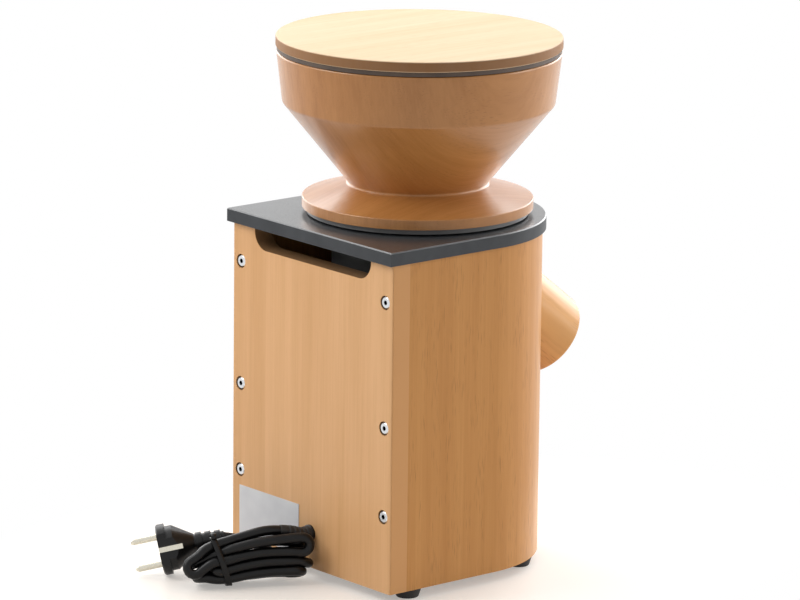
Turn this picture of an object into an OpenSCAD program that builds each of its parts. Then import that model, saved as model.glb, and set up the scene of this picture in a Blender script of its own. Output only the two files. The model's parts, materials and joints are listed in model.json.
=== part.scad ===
// Electric grain mill with a turned beech hopper, a bent plywood body and a vertical motor.
// The hopper screws down on a sprung upper millstone; the motor spins the lower one.
// Millimetres. +Z is up, -Y is the side with the spout, +Y is the flat back.

/* [Body] */
// Width of the body, and the diameter of its round front
body_w = 176; // [172:1:200]
// Stone axis to the outer face of the back board
back_y = 94.5; // [92:0.5:120]
// Height of the wooden body without its feet
body_h = 233; // [226:0.5:280]
// Thickness of the bent plywood
wall_t = 15; // [12:0.5:16]
// Thickness of the back board
back_t = 15; // [12:0.5:20]
// Width of the grip slot in the back board
slot_w = 128; // [80:1:130]
// Depth of the grip slot below the top plate
slot_h = 15.5; // [14:0.5:22]
// Radius of the slot's lower corners
slot_r = 13; // [5:0.5:13.5]

/* [Base and feet] */
// Thickness of the base board
base_t = 10; // [6:0.5:14]
// Height of the base board's underside above the lower edge of the body
base_recess = 2; // [0:0.5:5]
// Length of a ventilation slot
vent_len = 46; // [20:1:60]
// Width of a ventilation slot
vent_w = 5; // [3:0.5:7]
// Number of ventilation slots
vent_count = 7; // [3:2:9]
// Height of a rubber foot
foot_h = 7; // [5:0.5:12]
// Radius of a foot where it meets the wood
foot_r = 10; // [7:0.5:10]
// Radius of a foot where it meets the table
foot_tread_r = 8; // [6:0.1:9]
// Stone axis to the rear feet along Y
foot_back_y = 70; // [50:1:74]
// Angle of the front feet forward of the X axis
foot_front_angle = 33; // [15:1:60]

/* [Top plate] */
// Thickness of the top plate
plate_t = 9.5; // [8:0.5:14]
// Overhang of the plate at the front and sides
plate_over = 2.5; // [1:0.5:6]
// Overhang of the plate at the back
plate_back_over = 4; // [1:0.5:8]
// Chamfer along the plate's upper edge
plate_chamfer = 0.8; // [0.3:0.1:2]

/* [Hopper] */
// Outer radius of the hopper's foot disc
disc_r = 81.2; // [80:0.2:90]
// Thickness of the foot disc at its edge
disc_t = 7; // [5:0.5:12]
// Rise of the foot disc from its edge to the neck
disc_rise = 10; // [6:0.5:14]
// Outer radius of the neck
neck_r = 48.5; // [46:0.5:56]
// Height of the cone from the neck to the shoulder
cone_h = 57.5; // [40:0.5:80]
// Height from the shoulder to the rim
rim_h = 36; // [20:0.5:60]
// Outer radius of the rim
rim_r = 99.8; // [95:0.2:110]
// Flare of the bowl's upper wall from the shoulder out to the rim
rim_flare = 4.3; // [0:0.1:8]
// Wall of the bowl, measured square to its surface
bowl_wall = 9; // [7:0.5:11]
// Rounding of the shoulder
shoulder_round = 4; // [2:0.5:12]

/* [Lid] */
// Thickness of the wooden lid disc
lid_t = 7.3; // [5:0.1:12]
// How far the lid disc stands out past the rim
lid_over = 0.5; // [0:0.1:4]
// Thickness of the grey ring between the lid and the rim
lid_ring_t = 3; // [2:0.1:5]
// Depth of the ring's skirt inside the bowl
skirt_h = 8; // [4:0.5:14]
// Wall of the ring's skirt
skirt_t = 5; // [2:0.5:7]

/* [Spout] */
// Slope of the spout below the horizontal
spout_slope = 38; // [33:1:40]
// Stone axis to the centre of the spout's mouth along Y
spout_reach = 120.6; // [112:0.2:135]
// Outer radius of the spout
spout_r = 32; // [27:0.5:34]
// Rounding of the mouth's outer edge
spout_edge = 2; // [0.5:0.5:4]
// Bore radius of the grinding chamber's outlet
chute_r = 16; // [12:0.5:17]
// Wall of the outlet tube
chute_wall = 3; // [2:0.5:4]

/* [Grinding chamber] */
// Room between the chamber and the inside of the body, for its long screws
chamber_room = 13; // [11.5:0.5:15]
// Wall of the chamber
chamber_wall = 5; // [3:0.5:5]
// Height of the chamber below the top plate
chamber_h = 70; // [66:0.5:75]
// Thickness of the chamber's floor
floor_t = 8; // [6:0.5:9]
// Thickness of the threaded ring where it stands in the chamber
thread_seat = 5; // [4:0.1:5.5]
// Wall of the threaded ring in the top plate
thread_wall = 6; // [5:0.5:8]

/* [Millstones] */
// Room between the stones and the chamber's wall, for the springs
stone_room = 12.5; // [12:0.5:15]
// Thickness of the running stone
running_t = 20; // [16:0.5:22]
// Thickness of the fixed stone
fixed_t = 18; // [14:0.5:20]
// Radius of the fixed stone's feed eye
eye_r = 14; // [12:0.5:15]
// Gap between the stones at the finest setting
stone_gap = 0.5; // [0.3:0.1:1]
// Number of furrows in each stone
furrow_count = 10; // [6:1:14]
// Width of a furrow
furrow_w = 3; // [2:0.5:4]
// Depth of a furrow
furrow_d = 1.2; // [0.6:0.1:2]
// Number of sweeping blades under the running stone
blade_count = 3; // [2:1:6]
// Free height of a pressure spring at the finest setting
spring_len = 21; // [18:0.5:22]
// Wire radius of a pressure spring
spring_wire = 0.6; // [0.4:0.1:0.8]
// Radius of a guide pin
pin_r = 2; // [1.5:0.1:2.2]

/* [Motor] */
// Room between the motor and the inside of the body
motor_room = 13; // [11:0.5:16]
// Height of the lamination stack
stack_h = 48; // [40:1:52]
// Depth of the stack from its bore to its outside
stack_w = 27; // [24:0.5:30]
// Air gap between rotor and stack
air_gap = 0.4; // [0.3:0.1:0.8]
// Height of an end shield
shield_h = 18; // [16:0.5:22]
// Wall of an end shield
shield_wall = 4; // [3:0.5:5]
// Radius of the motor shaft
shaft_r = 6; // [5:0.5:7]
// Outer radius of a ball bearing
bearing_r = 16; // [14:0.5:18]
// Width of a ball bearing
bearing_w = 10; // [8:0.5:12]
// Radius of the cooling fan
fan_r = 50; // [35:1:56]
// Number of fan blades
fan_blades = 9; // [5:1:12]
// Length of the posts between the chamber and the motor
post_h = 12; // [10:0.5:18]

/* [Switch] */
// Height of the rocker switch above the table
switch_z = 44; // [38:1:46]
// Stone axis to the switch along Y, back of it
switch_y = 14; // [12:1:20]
// Height of the rocker
rocker_h = 21; // [16:0.5:24]
// Width of the rocker
rocker_w = 14; // [10:0.5:18]
// Tilt of the rocker at rest
rocker_tilt = 8; // [5:1:12]

/* [Cord and plug] */
// Diameter of the mains cord
cord_d = 7; // [6:0.5:8]
// Height of the cord's exit above the table
cord_z = 32; // [30:0.5:36]
// Radius of a plug pin
plug_pin_r = 2.4; // [2:0.1:2.5]
// Distance between the plug's pins
plug_pin_gap = 19; // [18:0.1:20]
// Free length of the plug's pins
plug_pin_len = 19; // [16:0.5:20]

/* [Hidden] */

$fn = 128;
e = 0.01;          // overrun of a cut past a face
loose = 0.3;       // gap between pieces that move past each other
run_fit = 0.08;    // radial clearance of a shaft or thread in its hole
drop_in = 0.05;    // radial clearance of a screw or pin in its own hole

// Heights, from the table up
top_z = foot_h + body_h;
plate_top = top_z + plate_t;
base_z = foot_h + base_recess;
base_top = base_z + base_t;
chamber_z = top_z - chamber_h;
floor_top = chamber_z + floor_t;
carrier_t = 6;
carrier_lift = 2.5;
blade_clear = 1;
blade_w = 6;
carrier_z = floor_top + carrier_lift;
running_z = carrier_z + carrier_t;
running_top = running_z + running_t;
fixed_z = running_top + stone_gap;
fixed_top = fixed_z + fixed_t;
holder_t = 6;
holder_top = fixed_top + holder_t;
holder_grip = 6;   // depth of the holder's rim around the fixed stone
ear_t = 6;
ear_w = 12;
ear_drop = 2;
ear_z = holder_top - ear_drop - ear_t;
lug_t = 6;
lug_w = 16;
lug_top = ear_z - spring_len;
pin_seat = 4;      // depth of a guide pin in its shelf
pin_over = 0.5;    // guide pin above the holder's ear, with the stone at its lowest
thread_skirt = 6;
nose_z = holder_top + loose;
collar_clear = 1.1;
collar_flange_t = 3.7;
foot_lip = 3;      // height of the hopper's foot above its neck, with the fillet
collar_flange_z = plate_top + collar_clear;
disc_z = collar_flange_z + collar_flange_t;
neck_z = disc_z + disc_t + disc_rise;
shoulder_z = neck_z + cone_h;
rim_z = shoulder_z + rim_h;
ring_z = rim_z + loose;
lid_z = ring_z + lid_ring_t;

// Radii
inner_w = body_w / 2 - wall_t;
board_edge = 1;    // rounding of the back board's outer edges
shoulder_r = rim_r - rim_flare;
chamber_r = inner_w - chamber_room;
chamber_in = chamber_r - chamber_wall;
thread_r = chamber_in - thread_seat;
thread_out = thread_r + thread_wall;
stone_r = chamber_in - stone_room;
motor_r = inner_w - motor_room;
rotor_r = motor_r - stack_w - air_gap;
lug_in = stone_r + 1.5;
lug_angles = [90, 210, 330];
holder_r = stone_r + 2.8;
pin_ring = (holder_r + chamber_in) / 2;
spring_mean = pin_r + 1.6;
collar_flange_r = disc_r - 3.2;
funnel_r = neck_r - 23.5;
eye_cone_r = eye_r + 10;
hub_r = 12;
nut_flat = 6.5;
washer_r = 14;
recess_r = washer_r + 2;
recess_d = 6.5;
tip_r = 4;

// Motor stack, from the top down
shield_top = chamber_z - post_h;
stack_top = shield_top - shield_h;
stack_z = stack_top - stack_h;
shield_z = stack_z - shield_h;
fan_t = 10;
fan_clear = 6;
fan_z = shield_z - fan_clear - fan_t;
shaft_z = fan_z - 2;
bolt_ring = motor_r - 6;
bolt_r = 2.5;
bolt_bite = 6;     // bolt above the post, in the chamber's floor
post_r = 5.5;
stack_in = rotor_r + air_gap;
hub_wall = 4;
race_t = 3;
race_gap = 0.3;
slot_count = 24;   // slots of the stator's winding
wire_slot_w = 3.8;
yoke_t = 13;       // solid iron between the slots and the stack's outside
winding_in = 3;    // winding's inside, from the stack's bore
winding_gap = 8;   // winding to the end shield's wall
winding_h = 11;
winding_edge = 1.5;
shield_vents = 8;
shield_vent_w = 6;

// Spout and outlet, along one sloping axis
seal_r = shaft_r + 4;
seal_wall = 10;
seal_h = 6;
chute_out = chute_r + chute_wall;
spout_bore = chute_out + run_fit;
port_rise = 17;
tube_back = 22;    // end of the outlet tube behind the spout's mouth
mouth_z = floor_top + port_rise - (spout_reach - chamber_in) * tan(spout_slope);
mouth_tip = spout_reach + (spout_r - spout_edge) * sin(spout_slope) + spout_edge * (1 - cos(spout_slope));

// The origin is below the middle of the mill without its cord
back_reach = back_y + plate_back_over;
axis_y = round(5 * (mouth_tip - back_reach)) / 10;

// Wood screws of the back board
screw_r = 2;
screw_head_r = 4.1;
screw_head_t = 2.6;
screw_edge = 0.5;  // chamfer of a screw's head
screw_play = 0.9;  // gap round a screw's head in the board
screw_sink = 0.4;
screw_len = 38;
screw_x = body_w / 2 - wall_t / 2 - 1;
screw_heights = [54, 117, 205.5];

// Feet, and the circle that the front ones share
foot_in = 10.5;
foot_ring = body_w / 2 - foot_in;
foot_screw_r = 1.8;
foot_head_r = 3.6;
foot_head_sink = 3;
foot_head_t = 2;
foot_screw_bite = 16;
foot_places = [
    [foot_ring, foot_back_y], [-foot_ring, foot_back_y],
    [foot_ring * cos(foot_front_angle), -foot_ring * sin(foot_front_angle)],
    [-foot_ring * cos(foot_front_angle), -foot_ring * sin(foot_front_angle)]
];

// Corner blocks that the base board is screwed to
block_w = 14;
block_h = 24;
block_back_y = back_y - back_t - block_w / 2;
block_front_angle = 42;
block_screw_r = 1.6;
block_screw_bite = 13;
block_head_r = 3.2;
block_head_t = 2;

// Long screws that clamp the chamber between its floor and the top plate
hang_angles = [15, 165, 235, 305];
hang_screw_r = 2;
hang_head_r = 3.6;
hang_head_t = 3;
hang_bite = 6;
hang_ring = chamber_r + hang_head_r + 0.4;
hang_r = 6;

// Screws that hold the hopper's foot on its threaded collar
collar_screw_r = 1.8;
collar_head_r = 3.4;
collar_head_t = 1.9;
collar_bite = 8;

// Edges of the turned hopper
foot_edge = 0.8;
neck_round = 1.5;
rim_edge = 1.2;

// Lid's ring inside the bowl
rim_lean = rim_flare / rim_h;
rim_step = bowl_wall * norm([rim_flare, rim_h]) / rim_h;
lid_play = 0.6;
lid_edge = 1;
skirt_r = rim_r - rim_step - rim_lean * skirt_h - lid_play;
ring_inset = 0.4;

// Rocker switch in the +X wall
switch_frame_t = 2;
switch_border = 3;
switch_deep = 11;
switch_pivot_in = 4;
rocker_pin_r = 1.2;
rocker_pin_len = 1.2;
rocker_face = 5.5;
rocker_end = 1.5;  // gap at each end of the rocker
switch_tab = [8, 0.8, 6];
switch_tab_y = 3;

// Run capacitor, standing between the motor and the -X wall, in front of a corner block
cap_r = 13;
cap_len = 52;
cap_crimp = 3;
cap_tab = [1, 6, 10];
cap_tab_y = 4;
cap_clip_t = 1.5;
cap_clip_h = 12;
cap_flange = 9;
cap_hole_r = 1.7;
cap_x = -(inner_w - cap_r - cap_clip_t - 0.5);
cap_y = sqrt(pow(motor_r + cap_r + 1, 2) - pow(cap_x, 2));

// Terminal block on the base board
terminal_inset = 37;
terminal_at = [inner_w - terminal_inset, 34];
terminal_size = [16, 34, 13];
terminal_ways = 4;
terminal_screw_r = 2.2;
terminal_wire_r = 1.5;
terminal_wire_z = 6;

// Blank label on the back board
label_size = [67, 0.3, 36];
label_inset = 8.5;
label_at = [body_w / 2 - label_inset - label_size[0], 7];

// Cord grip in the back board
grip_r = cord_d / 2 + 1.3;
grip_collar_r = cord_d / 2 + 2.5;
grip_collar_t = 2.5;
grip_edge = 0.8;
grip_out = 7;
grip_hold = 5;
grip_in = 8;
grip_nut_t = 5;

// Routes of the free cord, as points chosen by hand, from the stone axis
lead_route = [
    [0, 103, 32.5], [0.5, 110, 35], [3, 119, 38], [7, 129, 38.5], [11.5, 139, 36], [16, 148, 32.5],
    [20, 156, 29], [24, 164, 24]
];
tail_route = [
    [37, 133, 28.5], [32, 124, 27.5], [29, 115, 23], [26, 108, 16], [20, 105, 10], [12, 108, 8],
    [4, 112, 8]
];
cord_sides = 10;
// Hank of the stowed cord: it lies between the back board and the plug
hank_at = [-7, 101.6];
hank_turn = 27;
hank_len = 82;
hank_near_r = 14.5;
hank_near_z = 19;
hank_far_r = 12;
hank_t = 22;
tie_at = 59;
tie_w = 9;
tie_t = 1.4;

// Plug, resting on its rim with its pins a little down
plug_at = [68.5, 174];
plug_yaw = 37;
plug_pitch = 12.5;
plug_roll = 15;
plug_front_r = 18;
plug_rim_t = 6;
plug_flat = 14;
plug_body_r = 15.8;
plug_body_t = 11;
plug_len = 25;
plug_neck_r = 6.6;
plug_grip_len = 20;
plug_ribs = 3;
plug_rib_r = 7;
plug_rib_gap = 2.4;
plug_lift = plug_front_r * cos(plug_pitch) + 0.05;
clip_w = 3.5;
clip_t = 1;
clip_len = 17;
plug_pin_root = 8;
plug_root_r = plug_pin_r - 0.4;
// Where the cord comes out of the plug's strain relief
plug_end = [plug_at[0], plug_at[1], plug_lift] - (plug_len + plug_grip_len)
    * [sin(plug_yaw) * cos(plug_pitch), cos(plug_yaw) * cos(plug_pitch), -sin(plug_pitch)];

// ---- helpers ----

module on_axis() { translate([0, axis_y, 0]) children(); }

function unit(v) = v / norm(v);

// Points of an arc of radius r that rounds the corner b between a and c
function rounded(a, b, c, r, n = 8) =
    let (
        u = unit(a - b), v = unit(c - b), half = acos(u * v) / 2,
        o = b + unit(u + v) * r / sin(half),
        p = b + u * r / tan(half) - o, q = b + v * r / tan(half) - o,
        a0 = atan2(p[1], p[0]), a1 = atan2(q[1], q[0]) - a0,
        turn = a1 > 180 ? a1 - 360 : a1 < -180 ? a1 + 360 : a1
    )
    [for (i = [0:n]) o + r * [cos(a0 + turn * i / n), sin(a0 + turn * i / n)]];

// A round front and straight sides back to y
module d_shape(r, y) {
    intersection() {
        circle(r);
        translate([-r, -r]) square([2 * r, r + y]);
    }
    translate([-r, 0]) square([2 * r, y]);
}

module ring(r_out, r_in, z, h) {
    translate([0, 0, z]) difference() {
        cylinder(r = r_out, h = h);
        translate([0, 0, -e]) cylinder(r = r_in, h = h + 2 * e);
    }
}

// Children along the spout's axis, z = 0 at the mouth and +Z back into the body
module along_spout() {
    translate([0, -spout_reach, mouth_z]) rotate([-90 + spout_slope, 0, 0]) children();
}

module hex_prism(flat, h) { cylinder(r = flat / cos(30), h = h, $fn = 6); }

// A screw with its head's top at z = 0, its hex socket open upwards and its shank going down
module socket_screw(head_r, head_t, shank_r, len, socket = 1.6) {
    difference() {
        union() {
            rotate_extrude() polygon([
                [0, -head_t], [head_r, -head_t], [head_r, -screw_edge], [head_r - screw_edge, 0], [0, 0]
            ]);
            translate([0, 0, -len]) cylinder(r = shank_r, h = len - screw_edge);
        }
        translate([0, 0, -head_t * 0.6]) hex_prism(socket, head_t);
    }
}

// A tube of radius r along a row of points
function tube_points(path, r, sides) =
    [for (i = [0:len(path) - 1])
        let (
            along = unit(path[min(i + 1, len(path) - 1)] - path[max(i - 1, 0)]),
            side = unit(cross([0, 0, 1], along)), up = cross(along, side)
        )
        for (k = [0:sides - 1])
            path[i] + r * (cos(360 * k / sides) * side + sin(360 * k / sides) * up)];

function tube_faces(rings, sides) = concat(
    [[for (k = [0:sides - 1]) k]],
    [for (i = [0:rings - 2]) for (k = [0:sides - 1])
        let (a = i * sides + k, b = i * sides + (k + 1) % sides)
        each [[a, a + sides, b], [b, a + sides, b + sides]]],
    [[for (k = [sides - 1:-1:0]) (rings - 1) * sides + k]]
);

module tube(path, r, sides) {
    polyhedron(points = tube_points(path, r, sides), faces = tube_faces(len(path), sides), convexity = 6);
}

// ---- body ----

module back_screw_places() {
    for (x = [screw_x, -screw_x]) for (h = screw_heights)
        translate([x, back_y, foot_h + h]) rotate([-90, 0, 0]) children();
}

module switch_opening(grow) {
    translate([inner_w - 1, switch_y - rocker_w / 2 - grow, switch_z - rocker_h / 2 - grow])
        cube([wall_t + 2, rocker_w + 2 * grow, rocker_h + 2 * grow]);
}

module body_shell() color("burlywood") on_axis() difference() {
    translate([0, 0, foot_h]) linear_extrude(body_h) difference() {
        d_shape(body_w / 2, back_y - back_t);
        d_shape(inner_w, back_y);
    }
    along_spout() translate([0, 0, -1]) cylinder(r = spout_r, h = spout_reach);
    switch_opening(2);
    back_screw_places() translate([0, 0, -screw_len - 1]) cylinder(r = screw_r + drop_in, h = screw_len);
    for (p = foot_places) translate([p[0], p[1], foot_h - 1])
        cylinder(r = foot_screw_r + drop_in, h = foot_screw_bite + 1);
}

module back_board() color("burlywood") on_axis() difference() {
    translate([0, 0, foot_h]) linear_extrude(body_h) polygon(concat(
        [[body_w / 2, back_y - back_t]],
        rounded([body_w / 2, 0], [body_w / 2, back_y], [0, back_y], board_edge, 3),
        rounded([0, back_y], [-body_w / 2, back_y], [-body_w / 2, 0], board_edge, 3),
        [[-body_w / 2, back_y - back_t]]
    ));
    translate([0, back_y + 1, top_z - slot_h]) rotate([90, 0, 0]) linear_extrude(back_t + 2) {
        for (x = [-1, 1]) translate([x * (slot_w / 2 - slot_r), slot_r]) circle(slot_r);
        translate([-slot_w / 2, slot_r]) square([slot_w, slot_h]);
        translate([-slot_w / 2 + slot_r, 0]) square([slot_w - 2 * slot_r, slot_h + 1]);
    }
    back_screw_places() {
        translate([0, 0, -screw_sink - screw_head_t]) cylinder(r = screw_head_r + screw_play, h = 10);
        translate([0, 0, -back_t - 1]) cylinder(r = screw_r + drop_in, h = back_t);
    }
    translate([0, back_y + 1, cord_z]) rotate([90, 0, 0]) cylinder(r = grip_r, h = back_t + 2);
}

module back_board_screws() color("silver") on_axis()
    back_screw_places() translate([0, 0, -screw_sink])
        socket_screw(screw_head_r, screw_head_t, screw_r, screw_len - screw_sink - 2);

// Children at each block's middle, their +X towards the wall
module block_places() {
    for (s = [1, -1]) {
        translate([s * (inner_w - block_w / 2), block_back_y, 0]) rotate(s > 0 ? 0 : 180) children();
        rotate(s > 0 ? -block_front_angle : 180 + block_front_angle)
            translate([inner_w - block_w / 2, 0, 0]) children();
    }
}

// The front blocks are cut to the round wall
module corner_blocks() color("wheat") on_axis() difference() {
    intersection() {
        block_places() translate([-block_w / 2, -block_w / 2, base_top])
            cube([block_w + 3, block_w, block_h]);
        linear_extrude(top_z) d_shape(inner_w, back_y - back_t);
    }
    block_places() translate([0, 0, base_top - 1])
        cylinder(r = block_screw_r + drop_in, h = block_screw_bite + 2);
}

module base_board() color("tan") on_axis() difference() {
    translate([0, 0, base_z]) linear_extrude(base_t) d_shape(inner_w, back_y - back_t);
    for (i = [0:vent_count - 1])
        translate([(i - (vent_count - 1) / 2) * vent_w * 2.2, 0, base_z - 1]) linear_extrude(base_t + 2) {
            for (y = [-1, 1]) translate([0, y * (vent_len - vent_w) / 2]) circle(vent_w / 2);
            square([vent_w, vent_len - vent_w], center = true);
        }
    block_places() translate([0, 0, base_z - 1]) {
        cylinder(r = block_screw_r + drop_in, h = base_t + 2);
        cylinder(r = block_head_r + 0.2, h = block_head_t + 1.2);
    }
}

module base_screws() color("silver") on_axis()
    block_places() translate([0, 0, base_z + 0.2]) rotate([180, 0, 0])
        socket_screw(block_head_r, block_head_t, block_screw_r, base_t + block_screw_bite, 1.3);

module rubber_feet() color([0.12, 0.12, 0.12]) on_axis()
    for (p = foot_places) translate([p[0], p[1], 0]) rotate_extrude() polygon([
        [foot_screw_r + drop_in, foot_h], [foot_screw_r + drop_in, foot_head_sink],
        [foot_head_r + 0.2, foot_head_sink], [foot_head_r + 0.2, 0],
        [foot_tread_r - 0.6, 0], [foot_tread_r, 0.6], [foot_r, foot_h]
    ]);

module foot_screws() color("silver") on_axis()
    for (p = foot_places) translate([p[0], p[1], foot_head_sink - foot_head_t]) rotate([180, 0, 0])
        socket_screw(foot_head_r, foot_head_t, foot_screw_r, foot_h - foot_head_sink + foot_screw_bite, 1.3);

// ---- top plate and chamber ----

module top_plate() color("dimgray") on_axis() {
    r = body_w / 2 + plate_over;
    c = plate_chamfer;
    difference() {
        union() {
            translate([0, 0, top_z]) rotate([0, 0, 180]) rotate_extrude(angle = 180)
                polygon([[0, 0], [r, 0], [r, plate_t - c], [r - c, plate_t], [0, plate_t]]);
            translate([0, back_reach, top_z]) rotate([90, 0, 0]) linear_extrude(back_reach) polygon([
                [-r, 0], [r, 0], [r, plate_t - c], [r - c, plate_t], [-r + c, plate_t], [-r, plate_t - c]
            ]);
        }
        translate([-r - 1, back_reach, plate_top - c]) rotate([90, 0, 90]) linear_extrude(2 * r + 2)
            polygon([[0, 0], [1, -1], [1, c + 1], [-c - 1, c + 1], [-c, c]]);
        translate([0, 0, top_z - 1]) cylinder(r = thread_out, h = plate_t + 2);
        hang_places() translate([0, 0, top_z - 1])
            cylinder(r = hang_screw_r + drop_in, h = hang_bite + 2);
    }
}

// Female thread for the hopper: set in the plate, with a skirt inside the chamber
module thread_ring() color([0.42, 0.44, 0.45]) on_axis() rotate_extrude() polygon([
    [thread_r + run_fit, top_z - thread_skirt], [chamber_in - drop_in, top_z - thread_skirt],
    [chamber_in - drop_in, top_z], [thread_out - drop_in, top_z], [thread_out - drop_in, plate_top],
    [thread_r + run_fit + 1, plate_top], [thread_r + run_fit, plate_top - 1]
]);

module lug_places() { for (a = lug_angles) rotate(a) translate([pin_ring, 0, 0]) children(); }

module bolt_places() { for (a = [45:90:315]) rotate(a) translate([bolt_ring, 0, 0]) children(); }

module hang_places() { for (a = hang_angles) rotate(a) translate([hang_ring, 0, 0]) children(); }

// The sloping way out that the flour takes, from the chamber to the mouth
module outlet_bore() {
    along_spout() translate([0, 0, -1])
        cylinder(r = chute_r, h = (spout_reach - chamber_in + 10) / cos(spout_slope));
}

module grinding_chamber() color([0.45, 0.46, 0.47]) on_axis() difference() {
    ring(chamber_r, chamber_in, floor_top, top_z - floor_top);
    outlet_bore();
}

// Floor plate with four ears for the long screws and a boss for the shaft's seal
module chamber_floor() color([0.5, 0.51, 0.52]) on_axis() difference() {
    union() {
        translate([0, 0, chamber_z]) cylinder(r = chamber_r, h = floor_t);
        hang_places() translate([0, 0, chamber_z]) cylinder(r = hang_r, h = floor_t);
        for (a = hang_angles) rotate(a) translate([chamber_r - 2, -hang_r, chamber_z])
            cube([hang_ring - chamber_r + 2, 2 * hang_r, floor_t]);
        translate([0, 0, chamber_z - seal_h]) cylinder(r = seal_r + seal_wall, h = seal_h + 1);
    }
    outlet_bore();
    translate([0, 0, chamber_z - seal_h - 1]) cylinder(r = seal_r, h = seal_h + floor_t + 2);
    hang_places() translate([0, 0, chamber_z - 1]) cylinder(r = hang_screw_r + drop_in, h = floor_t + 2);
    bolt_places() translate([0, 0, chamber_z - 1]) cylinder(r = bolt_r + drop_in, h = bolt_bite + 1);
}

module motor_posts() color([0.55, 0.56, 0.57]) on_axis()
    bolt_places() ring(post_r, bolt_r + drop_in, shield_top, post_h);

// Shelves on the chamber's wall, one under each spring
module spring_shelves() color([0.5, 0.51, 0.52]) on_axis() difference() {
    for (a = lug_angles) rotate(a) intersection() {
        translate([lug_in, -lug_w / 2, lug_top - lug_t]) cube([chamber_in - lug_in + 1, lug_w, lug_t]);
        cylinder(r = chamber_in, h = top_z);
    }
    lug_places() translate([0, 0, lug_top - pin_seat]) cylinder(r = pin_r + drop_in, h = pin_seat + 1);
}

module chamber_screws() color("silver") on_axis()
    hang_places() translate([0, 0, chamber_z - hang_head_t]) rotate([180, 0, 0])
        socket_screw(hang_head_r, hang_head_t, hang_screw_r, hang_head_t + chamber_h + hang_bite, 1.5);

// Tube that lines the spout and meets the chamber's round wall
module outlet_tube() color([0.45, 0.46, 0.47]) on_axis() difference() {
    along_spout() translate([0, 0, tube_back])
        cylinder(r = chute_out, h = (spout_reach - chamber_r + 15) / cos(spout_slope) - tube_back);
    along_spout() cylinder(r = chute_r, h = 2 * spout_reach);
    cylinder(r = chamber_r + drop_in, h = 2 * top_z);
}

// Felt ring that keeps flour out of the motor
module shaft_seal() color("beige") on_axis()
    ring(seal_r, shaft_r + run_fit, chamber_z - seal_h, seal_h + floor_t);

module guide_pins() color("silver") on_axis()
    lug_places() translate([0, 0, lug_top - pin_seat])
        cylinder(r = pin_r, h = pin_seat + spring_len + ear_t + pin_over);

module pressure_springs() color("silver") on_axis() {
    turns = 5;
    steps = 12;
    rise = spring_len - 2 * spring_wire - 0.1;
    path = [for (i = [0:turns * steps]) let (a = 360 * i / steps)
        [spring_mean * cos(a), spring_mean * sin(a), spring_wire + 0.05 + rise * i / (turns * steps)]];
    lug_places() translate([0, 0, lug_top]) tube(path, spring_wire, 6);
}

module spout() color("burlywood") on_axis() difference() {
    along_spout() rotate_extrude() polygon([
        [spout_bore, 0], [spout_r - spout_edge, 0],
        each rounded([0, 0], [spout_r, 0], [spout_r, spout_reach], spout_edge, 5),
        [spout_r, spout_reach], [spout_bore, spout_reach]
    ]);
    // cut flush with the inside of the wall
    translate([0, 0, -body_h]) linear_extrude(3 * body_h) d_shape(inner_w, back_y);
    translate([-body_w, 0, -body_h]) cube([2 * body_w, 3 * body_w, 4 * body_h]);
}

// ---- motor ----

module motor_stator() color([0.55, 0.55, 0.56]) on_axis() difference() {
    ring(motor_r, stack_in, stack_z, stack_h);
    for (i = [0:slot_count - 1]) rotate(i * 360 / slot_count)
        translate([stack_in - 1, -wire_slot_w / 2, stack_z - 1])
            cube([motor_r - yoke_t - stack_in + 1, wire_slot_w, stack_h + 2]);
    bolt_places() translate([0, 0, stack_z - 1]) cylinder(r = bolt_r + drop_in, h = stack_h + 2);
}

module winding_ring(z) {
    in_r = stack_in + winding_in;
    out_r = motor_r - shield_wall - winding_gap;
    translate([0, 0, z]) rotate_extrude() polygon([
        [in_r, 0], [out_r, 0], [out_r, winding_h - winding_edge], [out_r - winding_edge, winding_h],
        [in_r + winding_edge, winding_h], [in_r, winding_h - winding_edge]
    ]);
}

module stator_windings() color([0.72, 0.38, 0.2]) on_axis() {
    winding_ring(stack_top);
    mirror_at(stack_z) winding_ring(0);
}

module mirror_at(z) { translate([0, 0, z]) mirror([0, 0, 1]) children(); }

// An end shield that opens downwards, its outer face at z = shield_h
module end_shield() {
    difference() {
        union() {
            difference() {
                cylinder(r = motor_r, h = shield_h);
                translate([0, 0, -1]) cylinder(r = motor_r - shield_wall, h = shield_h - shield_wall + 1);
            }
            translate([0, 0, shield_h - bearing_w - 1])
                cylinder(r = bearing_r + hub_wall, h = bearing_w + 1);
            bolt_places() cylinder(r = 5, h = shield_h);
        }
        translate([0, 0, shield_h - bearing_w - 2]) cylinder(r = bearing_r, h = bearing_w + 1);
        cylinder(r = shaft_r + 3, h = shield_h + 1);
        bolt_places() translate([0, 0, -1]) cylinder(r = bolt_r + drop_in, h = shield_h + 2);
        for (i = [0:shield_vents - 1]) rotate((i + 0.5) * 360 / shield_vents)
            translate([bearing_r + hub_wall + 4, -shield_vent_w / 2, shield_h - shield_wall - 1])
                cube([motor_r - bearing_r - hub_wall - 14, shield_vent_w, shield_wall + 2]);
    }
}

module motor_upper_shield() color([0.75, 0.76, 0.78]) on_axis() translate([0, 0, stack_top]) end_shield();

module motor_lower_shield() color([0.75, 0.76, 0.78]) on_axis() mirror_at(stack_z) end_shield();

module motor_bolts() color("silver") on_axis()
    bolt_places() translate([0, 0, shield_z]) rotate([180, 0, 0]) {
        translate([0, 0, -(chamber_z - shield_z) - bolt_bite + 1])
            cylinder(r = bolt_r, h = chamber_z - shield_z + bolt_bite);
        hex_prism(4, 3.5);
    }

module bearing_places() {
    translate([0, 0, shield_top - bearing_w - 1]) children();
    translate([0, 0, shield_z + 1]) children();
}

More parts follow.
